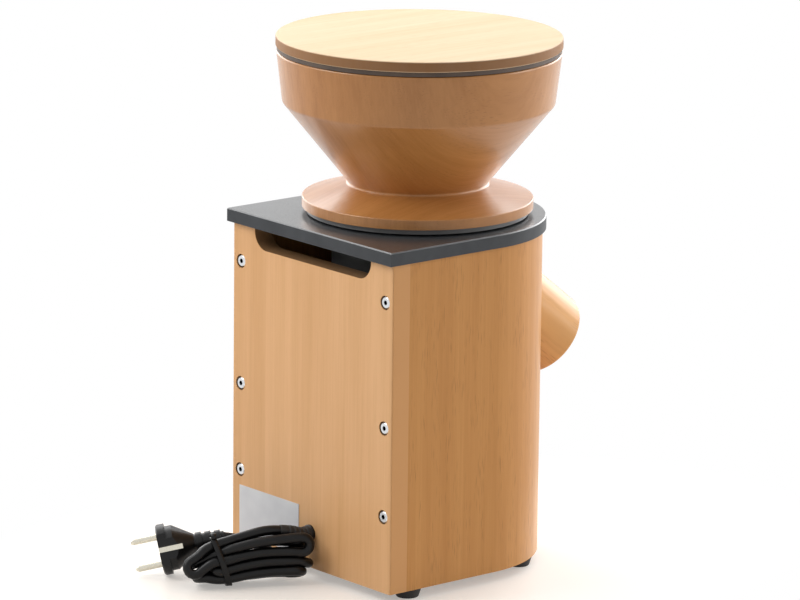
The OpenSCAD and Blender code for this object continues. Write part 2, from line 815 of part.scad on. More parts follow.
module bearing_outer_rings() color("silver") on_axis() bearing_places() {
    lip_r = shaft_r + race_t + race_gap;
    rotate_extrude() polygon([
        [lip_r, 0], [bearing_r, 0], [bearing_r, bearing_w], [lip_r, bearing_w],
        [lip_r, bearing_w - 1], [bearing_r - race_t, bearing_w - 1], [bearing_r - race_t, 1], [lip_r, 1]
    ]);
}

module bearing_inner_rings() color("silver") on_axis()
    bearing_places() ring(shaft_r + race_t, shaft_r, 0, bearing_w);

module motor_shaft() color([0.7, 0.7, 0.72]) on_axis() {
    translate([0, 0, shaft_z]) cylinder(r = shaft_r, h = carrier_z - shaft_z);
    translate([0, 0, carrier_z - e]) cylinder(r = tip_r, h = running_top - carrier_z + 4);
}

module rotor_core() color([0.5, 0.5, 0.52]) on_axis() ring(rotor_r, shaft_r, stack_z, stack_h);

module rotor_cage() color([0.8, 0.81, 0.83]) on_axis() {
    cage_end(stack_top);
    mirror_at(stack_z) cage_end(0);
}

module cage_end(z) {
    ring(rotor_r - 0.5, rotor_r - 10, z, 4);
    for (i = [0:7]) rotate(i * 45) translate([rotor_r - 9, -1, z + 4 - e]) cube([7.5, 2, 4]);
}

module cooling_fan() color([0.2, 0.2, 0.21]) on_axis() translate([0, 0, fan_z]) {
    ring(14, shaft_r, 0, fan_t);
    ring(fan_r, 13, fan_t - 2, 2);
    for (i = [0:fan_blades - 1]) rotate(i * 360 / fan_blades)
        translate([13, -0.8, 0]) cube([fan_r - 14, 1.6, fan_t - 1]);
}

// ---- millstones ----

// Furrows set off from the radius, as dressed stones have them
module furrows(z) {
    for (i = [0:furrow_count - 1]) rotate(i * 360 / furrow_count)
        translate([eye_r + 3, 6, z]) rotate(12) cube([stone_r - eye_r - 8, furrow_w, furrow_d + 1]);
}

module stone_carrier() color([0.6, 0.61, 0.62]) on_axis() difference() {
    union() {
        translate([0, 0, carrier_z]) cylinder(r = stone_r + 1, h = carrier_t);
        translate([0, 0, carrier_z])
            cylinder(r = hub_r - drop_in, h = carrier_t + running_t - recess_d - loose);
        for (i = [0:blade_count - 1]) rotate(i * 360 / blade_count + 20) intersection() {
            translate([20, -blade_w / 2, floor_top + blade_clear])
                cube([chamber_in, blade_w, running_z - floor_top - blade_clear]);
            cylinder(r = chamber_in - 1.2, h = top_z);
        }
    }
    translate([0, 0, carrier_z - 5]) cylinder(r = tip_r, h = running_t + 20);
}

module running_stone() color("gainsboro") on_axis() difference() {
    translate([0, 0, running_z]) cylinder(r = stone_r, h = running_t);
    translate([0, 0, running_z - 1]) cylinder(r = hub_r, h = running_t + 2);
    translate([0, 0, running_top - recess_d]) cylinder(r = recess_r, h = recess_d + 1);
    furrows(running_top - furrow_d);
}

module stone_washer() color("silver") on_axis() ring(washer_r, tip_r, running_top - recess_d, 2);

module stone_nut() color("silver") on_axis() translate([0, 0, running_top - recess_d + 2]) difference() {
    hex_prism(nut_flat, 6.5);
    translate([0, 0, -1]) cylinder(r = tip_r, h = 9);
}

module fixed_stone() color("gainsboro") on_axis() difference() {
    translate([0, 0, fixed_z]) cylinder(r = stone_r, h = fixed_t);
    translate([0, 0, fixed_z - 1]) cylinder(r = eye_r, h = fixed_t + 2);
    // breaking cone that draws whole grain in
    translate([0, 0, fixed_z - e]) rotate_extrude()
        polygon([[0, 0], [eye_cone_r, 0], [eye_r, 8], [0, 8]]);
    mirror_at(fixed_z + furrow_d) furrows(0);
}

module stone_holder() color([0.6, 0.61, 0.62]) on_axis() difference() {
    union() {
        translate([0, 0, fixed_top - holder_grip]) cylinder(r = holder_r, h = holder_t + holder_grip);
        for (a = lug_angles) rotate(a) intersection() {
            translate([stone_r + 1, -ear_w / 2, ear_z]) cube([chamber_in, ear_w, ear_t]);
            cylinder(r = chamber_in - 1, h = top_z);
        }
    }
    translate([0, 0, fixed_top - holder_grip - 1]) cylinder(r = stone_r + run_fit, h = holder_grip + 1);
    translate([0, 0, fixed_top - 1]) cylinder(r = eye_r, h = holder_t + 2);
    lug_places() translate([0, 0, ear_z - 1]) cylinder(r = pin_r + run_fit, h = ear_t + 2);
}

// ---- hopper and lid ----

module thread_collar() color([0.42, 0.44, 0.45]) on_axis() {
    throat_r = eye_r + 3;
    difference() {
        rotate_extrude() polygon([
            [throat_r, nose_z], [throat_r + 3, nose_z], [funnel_r + 4, collar_flange_z - 2],
            [thread_r - 6, collar_flange_z - 2], [thread_r - 6, nose_z], [thread_r - 3.5, nose_z],
            [thread_r - 3.5, top_z - thread_skirt + 1], [thread_r, top_z - thread_skirt + 4],
            [thread_r, collar_flange_z], [collar_flange_r, collar_flange_z], [collar_flange_r, disc_z],
            [funnel_r, disc_z]
        ]);
        collar_screw_places() {
            translate([0, 0, -1]) cylinder(r = collar_screw_r + drop_in, h = collar_flange_t + 2);
            translate([0, 0, -1]) cylinder(r = collar_head_r + 0.2, h = collar_head_t + 1.1);
        }
    }
}

module collar_screw_places() {
    for (a = [30:60:330]) rotate(a)
        translate([(thread_r + collar_flange_r) / 2, 0, collar_flange_z]) children();
}

module collar_screws() color("silver") on_axis()
    collar_screw_places() translate([0, 0, 0.1]) rotate([180, 0, 0])
        socket_screw(collar_head_r, collar_head_t, collar_screw_r, collar_flange_t + collar_bite, 1.3);

// Points of the bowl's outer side, from the disc's edge to the rim
function bowl_outside() =
    let (
        neck = [neck_r, neck_z], shoulder = [shoulder_r, shoulder_z], rim = [rim_r, rim_z],
        edge = [disc_r, disc_z + disc_t]
    )
    concat(
        rounded([disc_r, disc_z], edge, neck, foot_edge, 3),
        rounded(edge, neck, shoulder, neck_round, 5),
        rounded(neck, shoulder, rim, shoulder_round, 8),
        rounded(shoulder, rim, [0, rim_z], rim_edge, 4)
    );

// The inside keeps one wall thickness along the cone and another along the rim
function bowl_inside() =
    let (
        run = shoulder_r - neck_r, cone = norm([run, cone_h]), step = bowl_wall * cone / cone_h,
        slope = run / cone_h, cross_z = (rim_step - step) / (slope - rim_lean),
        turn = [shoulder_r - rim_step + rim_lean * cross_z, shoulder_z + cross_z],
        throat = [funnel_r, disc_z],
        cone_foot = [neck_r - step, neck_z]
    )
    concat(
        rounded([0, rim_z], [rim_r - rim_step, rim_z], turn, rim_edge, 4),
        rounded([rim_r - rim_step, rim_z], turn, cone_foot, shoulder_round + bowl_wall / 2, 8),
        rounded(turn, cone_foot, throat, 4, 4),
        [throat]
    );

// The hopper is glued up from three blocks and turned as one: this is its part between two heights
module turned_part(low, high) intersection() {
    rotate_extrude() polygon(concat([[disc_r, disc_z]], bowl_outside(), bowl_inside()));
    translate([0, 0, low]) cylinder(r = rim_r + disc_r, h = high - low);
}

module hopper_foot() color("burlywood") on_axis() difference() {
    turned_part(disc_z, neck_z + foot_lip);
    collar_screw_places() cylinder(r = collar_screw_r + drop_in, h = collar_flange_t + collar_bite + 1);
}

module hopper_bowl() color("burlywood") on_axis() turned_part(neck_z + foot_lip, shoulder_z);

module hopper_rim() color("burlywood") on_axis() turned_part(shoulder_z, rim_z);

module lid_disc() color("wheat") on_axis() translate([0, 0, lid_z]) rotate_extrude() {
    r = rim_r + lid_over;
    polygon(concat(
        [[0, 0]], rounded([0, 0], [r, 0], [r, lid_t], lid_edge, 4),
        rounded([r, 0], [r, lid_t], [0, lid_t], lid_edge, 4),
        [[0, lid_t]]
    ));
}

// Grey ring that seats the lid and centres it in the bowl
module lid_ring() color([0.35, 0.37, 0.38]) on_axis() rotate_extrude() {
    polygon([
        [skirt_r - skirt_t, lid_z], [skirt_r - skirt_t, rim_z - skirt_h], [skirt_r - 1, rim_z - skirt_h],
        [skirt_r, rim_z - skirt_h + 1], [skirt_r, ring_z], [rim_r - ring_inset, ring_z],
        [rim_r - ring_inset, lid_z]
    ]);
}

// ---- electrics ----

module run_capacitor() color([0.85, 0.86, 0.88]) on_axis() translate([cap_x, cap_y, base_top]) {
    cylinder(r = cap_r, h = cap_len);
    translate([0, 0, cap_len - e]) cylinder(r = cap_r - 2, h = cap_crimp);
    for (y = [-1, 1]) translate([-cap_tab[0] / 2, y * cap_tab_y - cap_tab[1] / 2, cap_len]) cube(cap_tab);
}

module capacitor_clip() color("silver") on_axis() translate([cap_x, cap_y, base_top]) difference() {
    union() {
        cylinder(r = cap_r + cap_clip_t, h = cap_clip_h);
        translate([-cap_clip_h / 2, -cap_r - cap_flange, 0])
            cube([cap_clip_h, cap_r + cap_flange, cap_clip_t]);
    }
    translate([0, 0, -1]) cylinder(r = cap_r + drop_in, h = cap_clip_h + 2);
    translate([0, -cap_r - cap_flange / 2 - cap_clip_t / 2, -1])
        cylinder(r = cap_hole_r, h = cap_clip_t + 2);
}

module terminal_block() color("ivory") on_axis()
translate([terminal_at[0], terminal_at[1], base_top]) difference() {
    cube(terminal_size);
    for (i = [0:terminal_ways - 1]) let (y = terminal_size[1] * (i + 0.5) / terminal_ways) {
        translate([terminal_size[0] / 2, y, terminal_wire_z])
            cylinder(r = terminal_screw_r, h = terminal_size[2]);
        translate([-1, y, terminal_wire_z]) rotate([0, 90, 0])
            cylinder(r = terminal_wire_r, h = terminal_size[0] + 2);
    }
}

// Children at the rocker's pivot, +X out of the wall
module at_switch() { translate([body_w / 2, switch_y, switch_z]) children(); }

module switch_housing() color([0.1, 0.1, 0.1]) on_axis() at_switch() difference() {
    union() {
        translate([-wall_t - 4, -rocker_w / 2 - 2, -rocker_h / 2 - 2])
            cube([wall_t + 4, rocker_w + 4, rocker_h + 4]);
        translate([0, -rocker_w / 2 - switch_border, -rocker_h / 2 - switch_border])
            cube([switch_frame_t, rocker_w + 2 * switch_border, rocker_h + 2 * switch_border]);
        for (y = [-switch_tab_y, switch_tab_y])
            translate([-wall_t - 3 - switch_tab[0], y - switch_tab[1] / 2, -switch_tab[2] / 2])
                cube(switch_tab);
    }
    translate([-switch_deep, -rocker_w / 2, -rocker_h / 2]) cube([switch_deep + 5, rocker_w, rocker_h]);
    translate([-switch_pivot_in, rocker_w / 2 + 1.6, 0]) rotate([90, 0, 0])
        cylinder(r = rocker_pin_r + run_fit, h = rocker_w + 3.2);
}

// The rocker turns on two short pins; its face is a shallow V
module switch_rocker() color([0.12, 0.12, 0.12]) on_axis() at_switch()
    translate([-switch_pivot_in, 0, 0]) rotate([0, rocker_tilt, 0]) {
        half = rocker_h / 2 - rocker_end;
        face = rocker_face;
        dip = tan(rocker_tilt) * half;
        rotate([90, 0, 0]) translate([0, 0, -rocker_w / 2 + loose]) linear_extrude(rocker_w - 2 * loose)
            polygon([
                [-3, -half + 2], [face + dip, -half], [face, 0], [face + dip, half], [-3, half - 2], [-5, 0]
            ]);
        rotate([90, 0, 0]) translate([0, 0, -rocker_w / 2 - rocker_pin_len])
            cylinder(r = rocker_pin_r, h = rocker_w + 2 * rocker_pin_len);
    }

module at_cord_exit() { translate([0, back_y, cord_z]) rotate([-90, 0, 0]) children(); }

module cord_grip() color([0.1, 0.1, 0.1]) on_axis() at_cord_exit() difference() {
    rotate_extrude() polygon([
        [0, -back_t - grip_in], [grip_r, -back_t - grip_in], [grip_r, 0], [grip_collar_r, 0],
        [grip_collar_r, grip_collar_t - grip_edge], [grip_collar_r - grip_edge, grip_collar_t],
        [grip_r - 0.4, grip_collar_t], [cord_d / 2 + 0.7, grip_out], [0, grip_out]
    ]);
    translate([0, 0, grip_out - grip_hold]) cylinder(r = cord_d / 2 + drop_in, h = grip_hold + 1);
}

module cord_grip_nut() color([0.15, 0.15, 0.15]) on_axis() at_cord_exit()
    translate([0, 0, -back_t - grip_nut_t]) difference() {
        hex_prism(grip_r + 3, grip_nut_t);
        translate([0, 0, -1]) cylinder(r = grip_r, h = grip_nut_t + 2);
    }

module blank_label() color("white") on_axis()
    translate([label_at[0], back_y, foot_h + label_at[1]]) cube(label_size);

// ---- cord and plug ----

// The start of the lead sits in the grip
module cord_lead() color([0.1, 0.1, 0.1]) on_axis() tube(
    concat([[0, back_y + grip_out - grip_hold, cord_z]], lead_route), cord_d / 2, cord_sides
);

module cord_tail() color([0.1, 0.1, 0.1]) on_axis()
    tube(concat([plug_end], tail_route), cord_d / 2, cord_sides);

// Side outline of the hank: a round near end, a smaller far end on the table and two straight lines
function hank_outline(grow) =
    let (
        near = [hank_near_r, hank_near_z], far = [hank_len - hank_far_r, hank_far_r],
        lean = atan2(far[1] - near[1], far[0] - near[0]),
        open = acos((hank_near_r - hank_far_r) / norm(far - near))
    )
    concat(
        [for (i = [0:10]) let (a = lean + open + (360 - 2 * open) * i / 10)
            near + (hank_near_r + grow) * [cos(a), sin(a)]],
        [for (i = [0:10]) let (a = lean - open + 2 * open * i / 10)
            far + (hank_far_r + grow) * [cos(a), sin(a)]]
    );

module hank_prism(grow) {
    translate([hank_at[0], hank_at[1], 0]) rotate(90 - hank_turn) rotate([90, 0, 0])
        translate([0, 0, -hank_t / 2 - grow])
            linear_extrude(hank_t + 2 * grow) polygon(hank_outline(grow));
}

module cord_hank() color([0.1, 0.1, 0.1]) on_axis() hank_prism(0);

module cord_tie() color([0.14, 0.14, 0.14]) on_axis() difference() {
    intersection() {
        hank_prism(tie_t);
        translate([hank_at[0], hank_at[1], 0]) rotate(90 - hank_turn)
            translate([tie_at, -hank_t, 0.05]) cube([tie_w, 2 * hank_t, 3 * hank_near_r]);
    }
    hank_prism(0);
}

// Children with +Y out of the plug's front face and +Z along the line of its pins
module at_plug() {
    on_axis() translate([plug_at[0], plug_at[1], plug_lift])
        rotate([0, 0, -plug_yaw]) rotate([-plug_pitch, 0, 0]) rotate([0, plug_roll, 0]) children();
}

module plug_body() color([0.1, 0.1, 0.1]) at_plug() difference() {
    union() {
        intersection() {
            rotate([90, 0, 0]) rotate_extrude() polygon([
                [0, 0], [plug_front_r - 1, 0], [plug_front_r, 1], [plug_front_r, plug_rim_t],
                [plug_body_r, plug_rim_t], [plug_body_r, plug_body_t], [plug_neck_r, plug_len],
                [0, plug_len]
            ]);
            translate([-plug_flat, -plug_len - 1, -plug_front_r - 1])
                cube([2 * plug_flat, plug_len + 2, 2 * plug_front_r + 2]);
        }
        rotate([90, 0, 0]) rotate_extrude() polygon(plug_grip_outline());
    }
    // grooves of the earth clips
    for (side = [-1, 1]) translate([side * (plug_flat - clip_t / 2), -clip_len / 2 + 1, 0])
        cube([clip_t + 0.6, clip_len + 2, clip_w + 0.4], center = true);
    for (side = [-1, 1]) translate([0, 1, side * plug_pin_gap / 2]) rotate([90, 0, 0])
        cylinder(r = plug_root_r, h = plug_pin_root + 1);
}

// The ribbed strain relief behind the plug, each rib a little smaller than the last
function plug_grip_outline() =
    let (step = plug_grip_len / plug_ribs, end_r = cord_d / 2 + 1.4, root = plug_neck_r - 0.5)
    concat(
        [[0, plug_len - 3], [root, plug_len - 3], [root, plug_len + plug_rib_gap / 2]],
        [for (i = [0:plug_ribs - 1])
            let (
                r = plug_rib_r - (plug_rib_r - end_r) * i / plug_ribs,
                y = plug_len + i * step
            )
            each [
                [r, y + plug_rib_gap / 2], [r, y + step - plug_rib_gap / 2],
                [r - 1.4, y + step - plug_rib_gap / 2], [r - 1.4, y + step + plug_rib_gap / 2]
            ]],
        [[0, plug_len + plug_grip_len + plug_rib_gap / 2]]
    );

module plug_pins() color("silver") at_plug()
    for (side = [-1, 1]) translate([0, -plug_pin_root, side * plug_pin_gap / 2]) rotate([-90, 0, 0])
        rotate_extrude() polygon([
            [0, 0], [plug_root_r, 0], [plug_root_r, plug_pin_root], [plug_pin_r, plug_pin_root],
            [plug_pin_r, plug_pin_root + plug_pin_len - 2],
            [plug_pin_r - 1, plug_pin_root + plug_pin_len],
            [0, plug_pin_root + plug_pin_len]
        ]);

module earth_clips() color("silver") at_plug()
    for (side = [-1, 1]) translate([side * (plug_flat - clip_t / 2), -clip_len / 2, 0])
        cube([clip_t, clip_len, clip_w], center = true);

body_shell();
back_board();
back_board_screws();
corner_blocks();
base_board();
base_screws();
rubber_feet();
foot_screws();
top_plate();
thread_ring();
grinding_chamber();
chamber_floor();
motor_posts();
chamber_screws();
outlet_tube();
spout();
shaft_seal();
spring_shelves();
guide_pins();
pressure_springs();
motor_stator();
stator_windings();
motor_upper_shield();
motor_lower_shield();
motor_bolts();
bearing_outer_rings();
run_capacitor();
capacitor_clip();
terminal_block();
switch_housing();
cord_grip();
cord_grip_nut();
blank_label();
motor_shaft();
rotor_core();
rotor_cage();
bearing_inner_rings();
cooling_fan();
stone_carrier();
running_stone();
stone_washer();
stone_nut();
fixed_stone();
stone_holder();
hopper_foot();
hopper_bowl();
hopper_rim();
thread_collar();
collar_screws();
lid_disc();
lid_ring();
switch_rocker();
cord_lead();
cord_hank();
cord_tail();
cord_tie();
plug_body();
plug_pins();
earth_clips();
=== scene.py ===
# %% [markdown]
# # An electric grain mill
#
# This lesson dresses a imported CAD model of a small wooden grain mill: beech, slate-grey
# laminate, screws and a tied-up mains cord. The CAD parts stay as they are. We only give
# them finishes, and we make what CAD can't do well, which is the cord.
# Everything is in metres and in the CAD model's own frame, so nothing has to be fitted.

import json
import math

import bmesh
import bpy
import numpy as np
from mathutils import Matrix, Vector


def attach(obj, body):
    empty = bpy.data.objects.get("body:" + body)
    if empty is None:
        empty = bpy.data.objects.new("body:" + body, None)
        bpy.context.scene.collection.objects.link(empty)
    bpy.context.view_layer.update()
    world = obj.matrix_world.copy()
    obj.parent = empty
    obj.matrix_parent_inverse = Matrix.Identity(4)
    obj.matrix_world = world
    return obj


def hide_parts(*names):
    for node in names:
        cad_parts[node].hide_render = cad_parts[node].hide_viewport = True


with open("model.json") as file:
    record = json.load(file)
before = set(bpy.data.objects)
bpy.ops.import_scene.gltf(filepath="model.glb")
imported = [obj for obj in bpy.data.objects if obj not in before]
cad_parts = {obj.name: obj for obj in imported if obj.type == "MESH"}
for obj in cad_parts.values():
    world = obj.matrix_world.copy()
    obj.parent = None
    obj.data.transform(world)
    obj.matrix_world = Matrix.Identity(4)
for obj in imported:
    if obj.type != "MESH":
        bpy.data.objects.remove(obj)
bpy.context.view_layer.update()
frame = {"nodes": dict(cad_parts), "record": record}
scene = bpy.context.scene

# %% [markdown]
# ## Small helpers
#
# Colours are written as the sRGB hex values that a paint program shows, and Blender
# shades in linear light, so one function converts them. A second function adds one
# shader node with its settings and links, which keeps the materials below short. A third
# starts a material and keeps it under its name, so that the dressing step can find it.

# %% Colour, node and material helpers
MM = 0.001  # a millimetre in metres
AXIS_Y = 20.5  # the millstones' axis along Y in the frame, in mm
BOARD_FACE = 94.5 + AXIS_Y  # the back board's outer face along Y, in mm
finishes = {}


def linear(hex_colour):
    """An sRGB hex colour as the linear RGBA that shaders use."""
    values = [int(hex_colour[i : i + 2], 16) / 255 for i in (1, 3, 5)]
    return (*(v / 12.92 if v <= 0.04045 else ((v + 0.055) / 1.055) ** 2.4 for v in values), 1)


def node(tree, kind, inputs=None, **settings):
    """Adds a node: settings are its properties, inputs its sockets' values or links."""
    made = tree.nodes.new("ShaderNode" + kind)
    for name, value in settings.items():
        setattr(made, name, value)
    for socket, value in (inputs or {}).items():
        if isinstance(value, bpy.types.NodeSocket):
            tree.links.new(value, made.inputs[socket])
        else:
            made.inputs[socket].default_value = value
    return made


def finish_of(name, roughness, metallic=0.0, **sockets):
    """A new material's node tree and shader, with plain values on the sockets."""
    material = bpy.data.materials.new(name)
    material.use_nodes = True
    shader = material.node_tree.nodes["Principled BSDF"]
    shader.inputs["Roughness"].default_value = roughness
    shader.inputs["Metallic"].default_value = metallic
    for socket, value in sockets.items():
        shader.inputs[socket.replace("_", " ")].default_value = value
    finishes[name] = material
    return material.node_tree, shader


print("linear mid grey:", round(linear("#808080")[0], 3))

# %% [markdown]
# ## The camera
#
# The mill is seen from behind and a little above, from four metres away through a long
# lens, so its upright edges stay almost parallel. The camera's matrix is built from
# three directions: right, up and backwards.

# %% Camera
view_right = Vector((-0.63849, -0.76955, 0.01126))
view_up = Vector((0.1853, -0.13951, 0.97273))
view_back = view_right.cross(view_up)
view_from = (-2.95434, 2.50006, 1.10427)
camera = bpy.data.objects.new("camera", bpy.data.cameras.new("camera"))
axes = Matrix((view_right, view_up, view_back)).transposed().to_4x4()
camera.matrix_world = Matrix.Translation(view_from) @ axes
camera.data.sensor_width = 36
camera.data.lens = 253.62  # mm
camera.data.clip_end = 50  # metres
scene.collection.objects.link(camera)
scene.camera = camera
print("camera looks along", tuple(round(-v, 3) for v in view_back))

# %% [markdown]
# ## The mains cord's route
#
# A mill is stored with its cord folded into a hank: long narrow loops laid side by
# side and pinched by a tie near one end. A simulation could drop a cord on the table,
# but it wouldn't fold it as a hand does, so the route is listed point by point. Its
# points are given in the hank's own directions: along it, across it and up, in millimetres.

# %% The hank's own directions
CORD_D = 7.0  # the cord's diameter in mm
hank_at = np.array([-7, 101.6 + AXIS_Y, 0])
hank_turn = math.radians(27)
hank_along = np.array([math.sin(hank_turn), math.cos(hank_turn), 0])
hank_across = np.array([math.cos(hank_turn), -math.sin(hank_turn), 0])


def in_hank(points):
    """Points along, across and up the hank, in the frame's directions."""
    along, across, up = np.array(points, float).T[:, :, None]
    return hank_at + along * hank_along + across * hank_across + up * [0, 0, 1]


print("the hank points along", hank_along.round(3))

# %% [markdown]
# ## Lead, runs and tail
#
# The lead leaves the grip in the back board and climbs over the hank. Twelve runs
# follow, each from one end of the hank to the other, and the tail rises from the table
# to the plug's neck. Lead and tail are given from the millstones' axis.

# %% Lay the cord
lead = [
    (0, 96.5, 32), (0, 103, 32.5), (0.5, 110, 35), (3, 119, 38), (7, 129, 38.5), (11.5, 139, 36),
]
runs = [
    [
        (58, -0.5, 31), (66, -1.5, 27.5), (74, -2.5, 22.6), (82, -3.5, 17.6),
        (89, -5.5, 13.8), (85.5, -7, 11.2), (79, -7.2, 13.2),
    ],
    [
        (69, -7.2, 17.6), (60, -7.2, 20), (50, -7.2, 22.3), (35, -7.2, 24.4),
        (20, -7.2, 24), (8, -7.2, 23), (1.5, -7.2, 24.2),
    ],
    [
        (-1.2, -7.2, 28), (1.5, -7.2, 32.4), (8, -7.2, 33.9), (20, -7.2, 33.2),
        (35, -7.2, 32.2), (46, -7, 30), (57, -6, 26), (66, -3, 22.5),
    ],
    [
        (76, 1, 19), (84, 4, 14.8), (82, 8, 12.5), (73, 6, 16), (64, 2, 20.5),
        (50, 0.2, 26.5), (35, 0, 30), (20, 0, 30.3), (10, 0.4, 28),
    ],
    [
        (4, 2, 26.5), (0.5, 4.5, 23), (4, 7, 20), (12, 7.2, 19.4), (20, 7.2, 19.4),
        (35, 7.2, 19.2), (50, 7.2, 18), (62, 7.4, 15), (70, 7, 12.5),
    ],
    [
        (74, 4, 12), (70, 1.5, 12.5), (62, 0.5, 12.8), (50, 0, 14), (35, 0, 14.4),
        (20, 0, 14.6), (8, 0, 14.4),
    ],
    [
        (2.5, 0.5, 17.5), (8, 0, 21), (20, 0, 21.6), (35, 0, 21.4), (50, 0, 19.5),
        (60, -0.5, 17),
    ],
    [
        (68, -2, 14.5), (70, -5.5, 13), (64, -7.2, 12.4), (57, -7.2, 13.4),
        (50, -7.2, 14.8), (35, -7.2, 17.2), (20, -7.2, 17.6), (8, -7, 16.2),
    ],
    [
        (0.5, -4, 14.2), (-0.6, 1, 13), (3, 6, 12.6), (10, 7.2, 12.4), (20, 7.2, 12.2),
        (35, 7.2, 11.9), (50, 7.2, 10.8), (60, 7.2, 9.5),
    ],
    [
        (68, 5.5, 8.4), (66, 1.5, 7.6), (60, 0.3, 7.2), (50, 0, 7.2), (35, 0, 7.4),
        (20, 0, 7.6), (8, -0.6, 8),
    ],
    [
        (3, -4, 9.4), (7, -7.2, 10.8), (20, -7.2, 10.6), (35, -7.2, 9.9),
        (50, -7.2, 8.6), (60, -7, 8), (70, -5.8, 8.2),
    ],
    [
        (79, -2.8, 7.2), (79.5, 3, 5.4), (71, 6.8, 3.6), (60, 7.2, 3.6), (50, 7.2, 3.8),
        (38, 7.2, 4.6), (26, 7.4, 5.4),
    ],
]
tail = [
    (13, 107, 7), (21, 105.5, 10), (27, 109, 15.5), (30, 116, 20), (33, 124.5, 23.5),
    (37.2, 132.5, 26.2), (42.06, 138.91, 27.36),
]
to_axis = np.array([0, AXIS_Y, 0])
laid = np.vstack([np.add(lead, to_axis), *map(in_hank, runs), np.add(tail, to_axis)])
print("points laid by hand:", len(laid))

# %% [markdown]
# ## Lines of points
#
# The cord, its sleeve and its tie are all made along lines of points. Three helpers
# measure such a line, space its points evenly and round it off through the points.

# %% Helpers for lines of points
def travelled_along(points):
    """How far along a line of points each of them lies."""
    steps = np.linalg.norm(np.diff(points, axis=0), axis=1)
    return np.concatenate([[0], np.cumsum(steps)])


def resample(points, spacing):
    """Points at an even spacing along a line of points."""
    travelled = travelled_along(points)
    wanted = np.linspace(0, travelled[-1], max(2, round(travelled[-1] / spacing) + 1))
    return np.column_stack([np.interp(wanted, travelled, points[:, k]) for k in range(3)])


def smooth_through(points, per_gap=8):
    """A Catmull-Rom line through the points."""
    padded = np.vstack([2 * points[0] - points[1], points, 2 * points[-1] - points[-2]])
    t = np.linspace(0, 1, per_gap, endpoint=False)[:, None]
    pieces = []
    for a, b, c, d in zip(padded, padded[1:], padded[2:], padded[3:]):
        square, cube = 2 * a - 5 * b + 4 * c - d, 3 * b - a - 3 * c + d
        pieces.append(0.5 * (2 * b + (c - a) * t + square * t**2 + cube * t**3))
    return np.vstack([*pieces, points[-1:]])


print("laid length in mm:", round(travelled_along(laid)[-1]))

# %% [markdown]
# ## Pushing the strands apart
#
# The listed points let the cord pass through itself in places. A real cord can't:
# its strands press each other aside and it resists bending. The same rules, applied a
# few hundred times to points spaced half a diameter apart, settle the hank: neighbours
# keep their distance, bends open up, strands push apart, and nothing sinks into the
# table or the back board. Both ends stay where they are.

# %% What each point has to keep
HELD = 4  # points at each end that stay in place
PAST_BOARD = 6  # points before this one start in the grip and may touch the board
BEND_ROOM = (8.8, 10.2)  # least distance in mm of points 3 and 4 steps apart
cord_line = resample(smooth_through(laid), CORD_D / 2)
gap = np.linalg.norm(cord_line[1] - cord_line[0])
held = np.zeros(len(cord_line), bool)
held[:HELD] = held[-HELD:] = True
home = cord_line.copy()
order = np.arange(len(cord_line))
lag = np.abs(order[:, None] - order[None, :])
room = np.select([lag == 3, lag == 4, lag >= 5], [*BEND_ROOM, CORD_D], 0.0)
print("points to settle:", len(cord_line), "every", round(gap, 2), "mm")

# %% Settle the cord
ROUNDS, LINK_ROUNDS = 400, 4
STIFFNESS = 0.15  # how far a point moves to the middle of its neighbours
PUSH, PUSH_GAIN = 0.25, 1.5  # each strand's share of an overlap, and the mean push's gain
LINK_PULL = 0.4  # share of a link's error that each of its ends takes
HOMING = 0.02  # how strongly a point keeps to the listed route
for _ in range(ROUNDS):
    start = cord_line.copy()
    middle = (cord_line[:-2] + cord_line[2:]) / 2 - cord_line[1:-1]
    cord_line[1:-1] += STIFFNESS * middle
    away = cord_line[:, None] - cord_line[None, :]
    far = np.linalg.norm(away, axis=2) + 1e-9  # never zero, so it can be divided by
    close = far < room
    push = np.where(close, (room - far) / far * PUSH, 0)[:, :, None] * away
    cord_line += push.sum(axis=1) / np.maximum(1, close.sum(axis=1))[:, None] * PUSH_GAIN
    for _ in range(LINK_ROUNDS):
        link = np.diff(cord_line, axis=0)
        long = np.linalg.norm(link, axis=1)[:, None]
        shift = link * (1 - gap / long) * LINK_PULL
        cord_line[:-1] += shift
        cord_line[1:] -= shift
    cord_line += HOMING * (home - cord_line)
    cord_line[:, 2] = np.maximum(cord_line[:, 2], CORD_D / 2)
    cord_line[PAST_BOARD:, 1] = np.maximum(cord_line[PAST_BOARD:, 1], BOARD_FACE + CORD_D / 2)
    cord_line[held] = start[held]
FINE_SPACING = 2.0  # mm between the points of the finished cord
cord_line = resample(smooth_through(cord_line, 4), FINE_SPACING)
cord_travelled = travelled_along(cord_line)

# %% [markdown]
# ## The cord as a curve
#
# A curve object with a bevel is a round tube of constant thickness, and it stays easy
# to change. The bevel is one metre and each point's radius is the cord's own in metres,
# because Blender adds that radius to the curve's bounding box. The curve stands for the
# plain CAD solids of the cord.

# %% Cord curve
cord_curve = bpy.data.curves.new("mains_cord", "CURVE")
cord_curve.dimensions = "3D"
cord_curve.bevel_depth = 1.0
cord_curve.bevel_resolution = 5
cord_curve.use_fill_caps = True
spline = cord_curve.splines.new("POLY")
spline.points.add(len(cord_line) - 1)
for point, place in zip(spline.points, cord_line):
    point.co = (*(place * MM), 1)
    point.radius = CORD_D / 2 * MM
spline.use_smooth = True
mains_cord = bpy.data.objects.new("mains_cord", cord_curve)
scene.collection.objects.link(mains_cord)
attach(mains_cord, "housing")
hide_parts("cord_lead", "cord_hank", "cord_tail")
print("cord points:", len(cord_line))

# %% [markdown]
# ## Skins over rings
#
# The sleeve and the tie change their shape along the way, so a curve with one bevel
# can't make them. Both are skins over rings of points instead: the sleeve's rings are
# circles round the cord, and the tie's are the band's own section, carried round the
# strands that it pinches. One function joins neighbouring rings with four-sided faces.

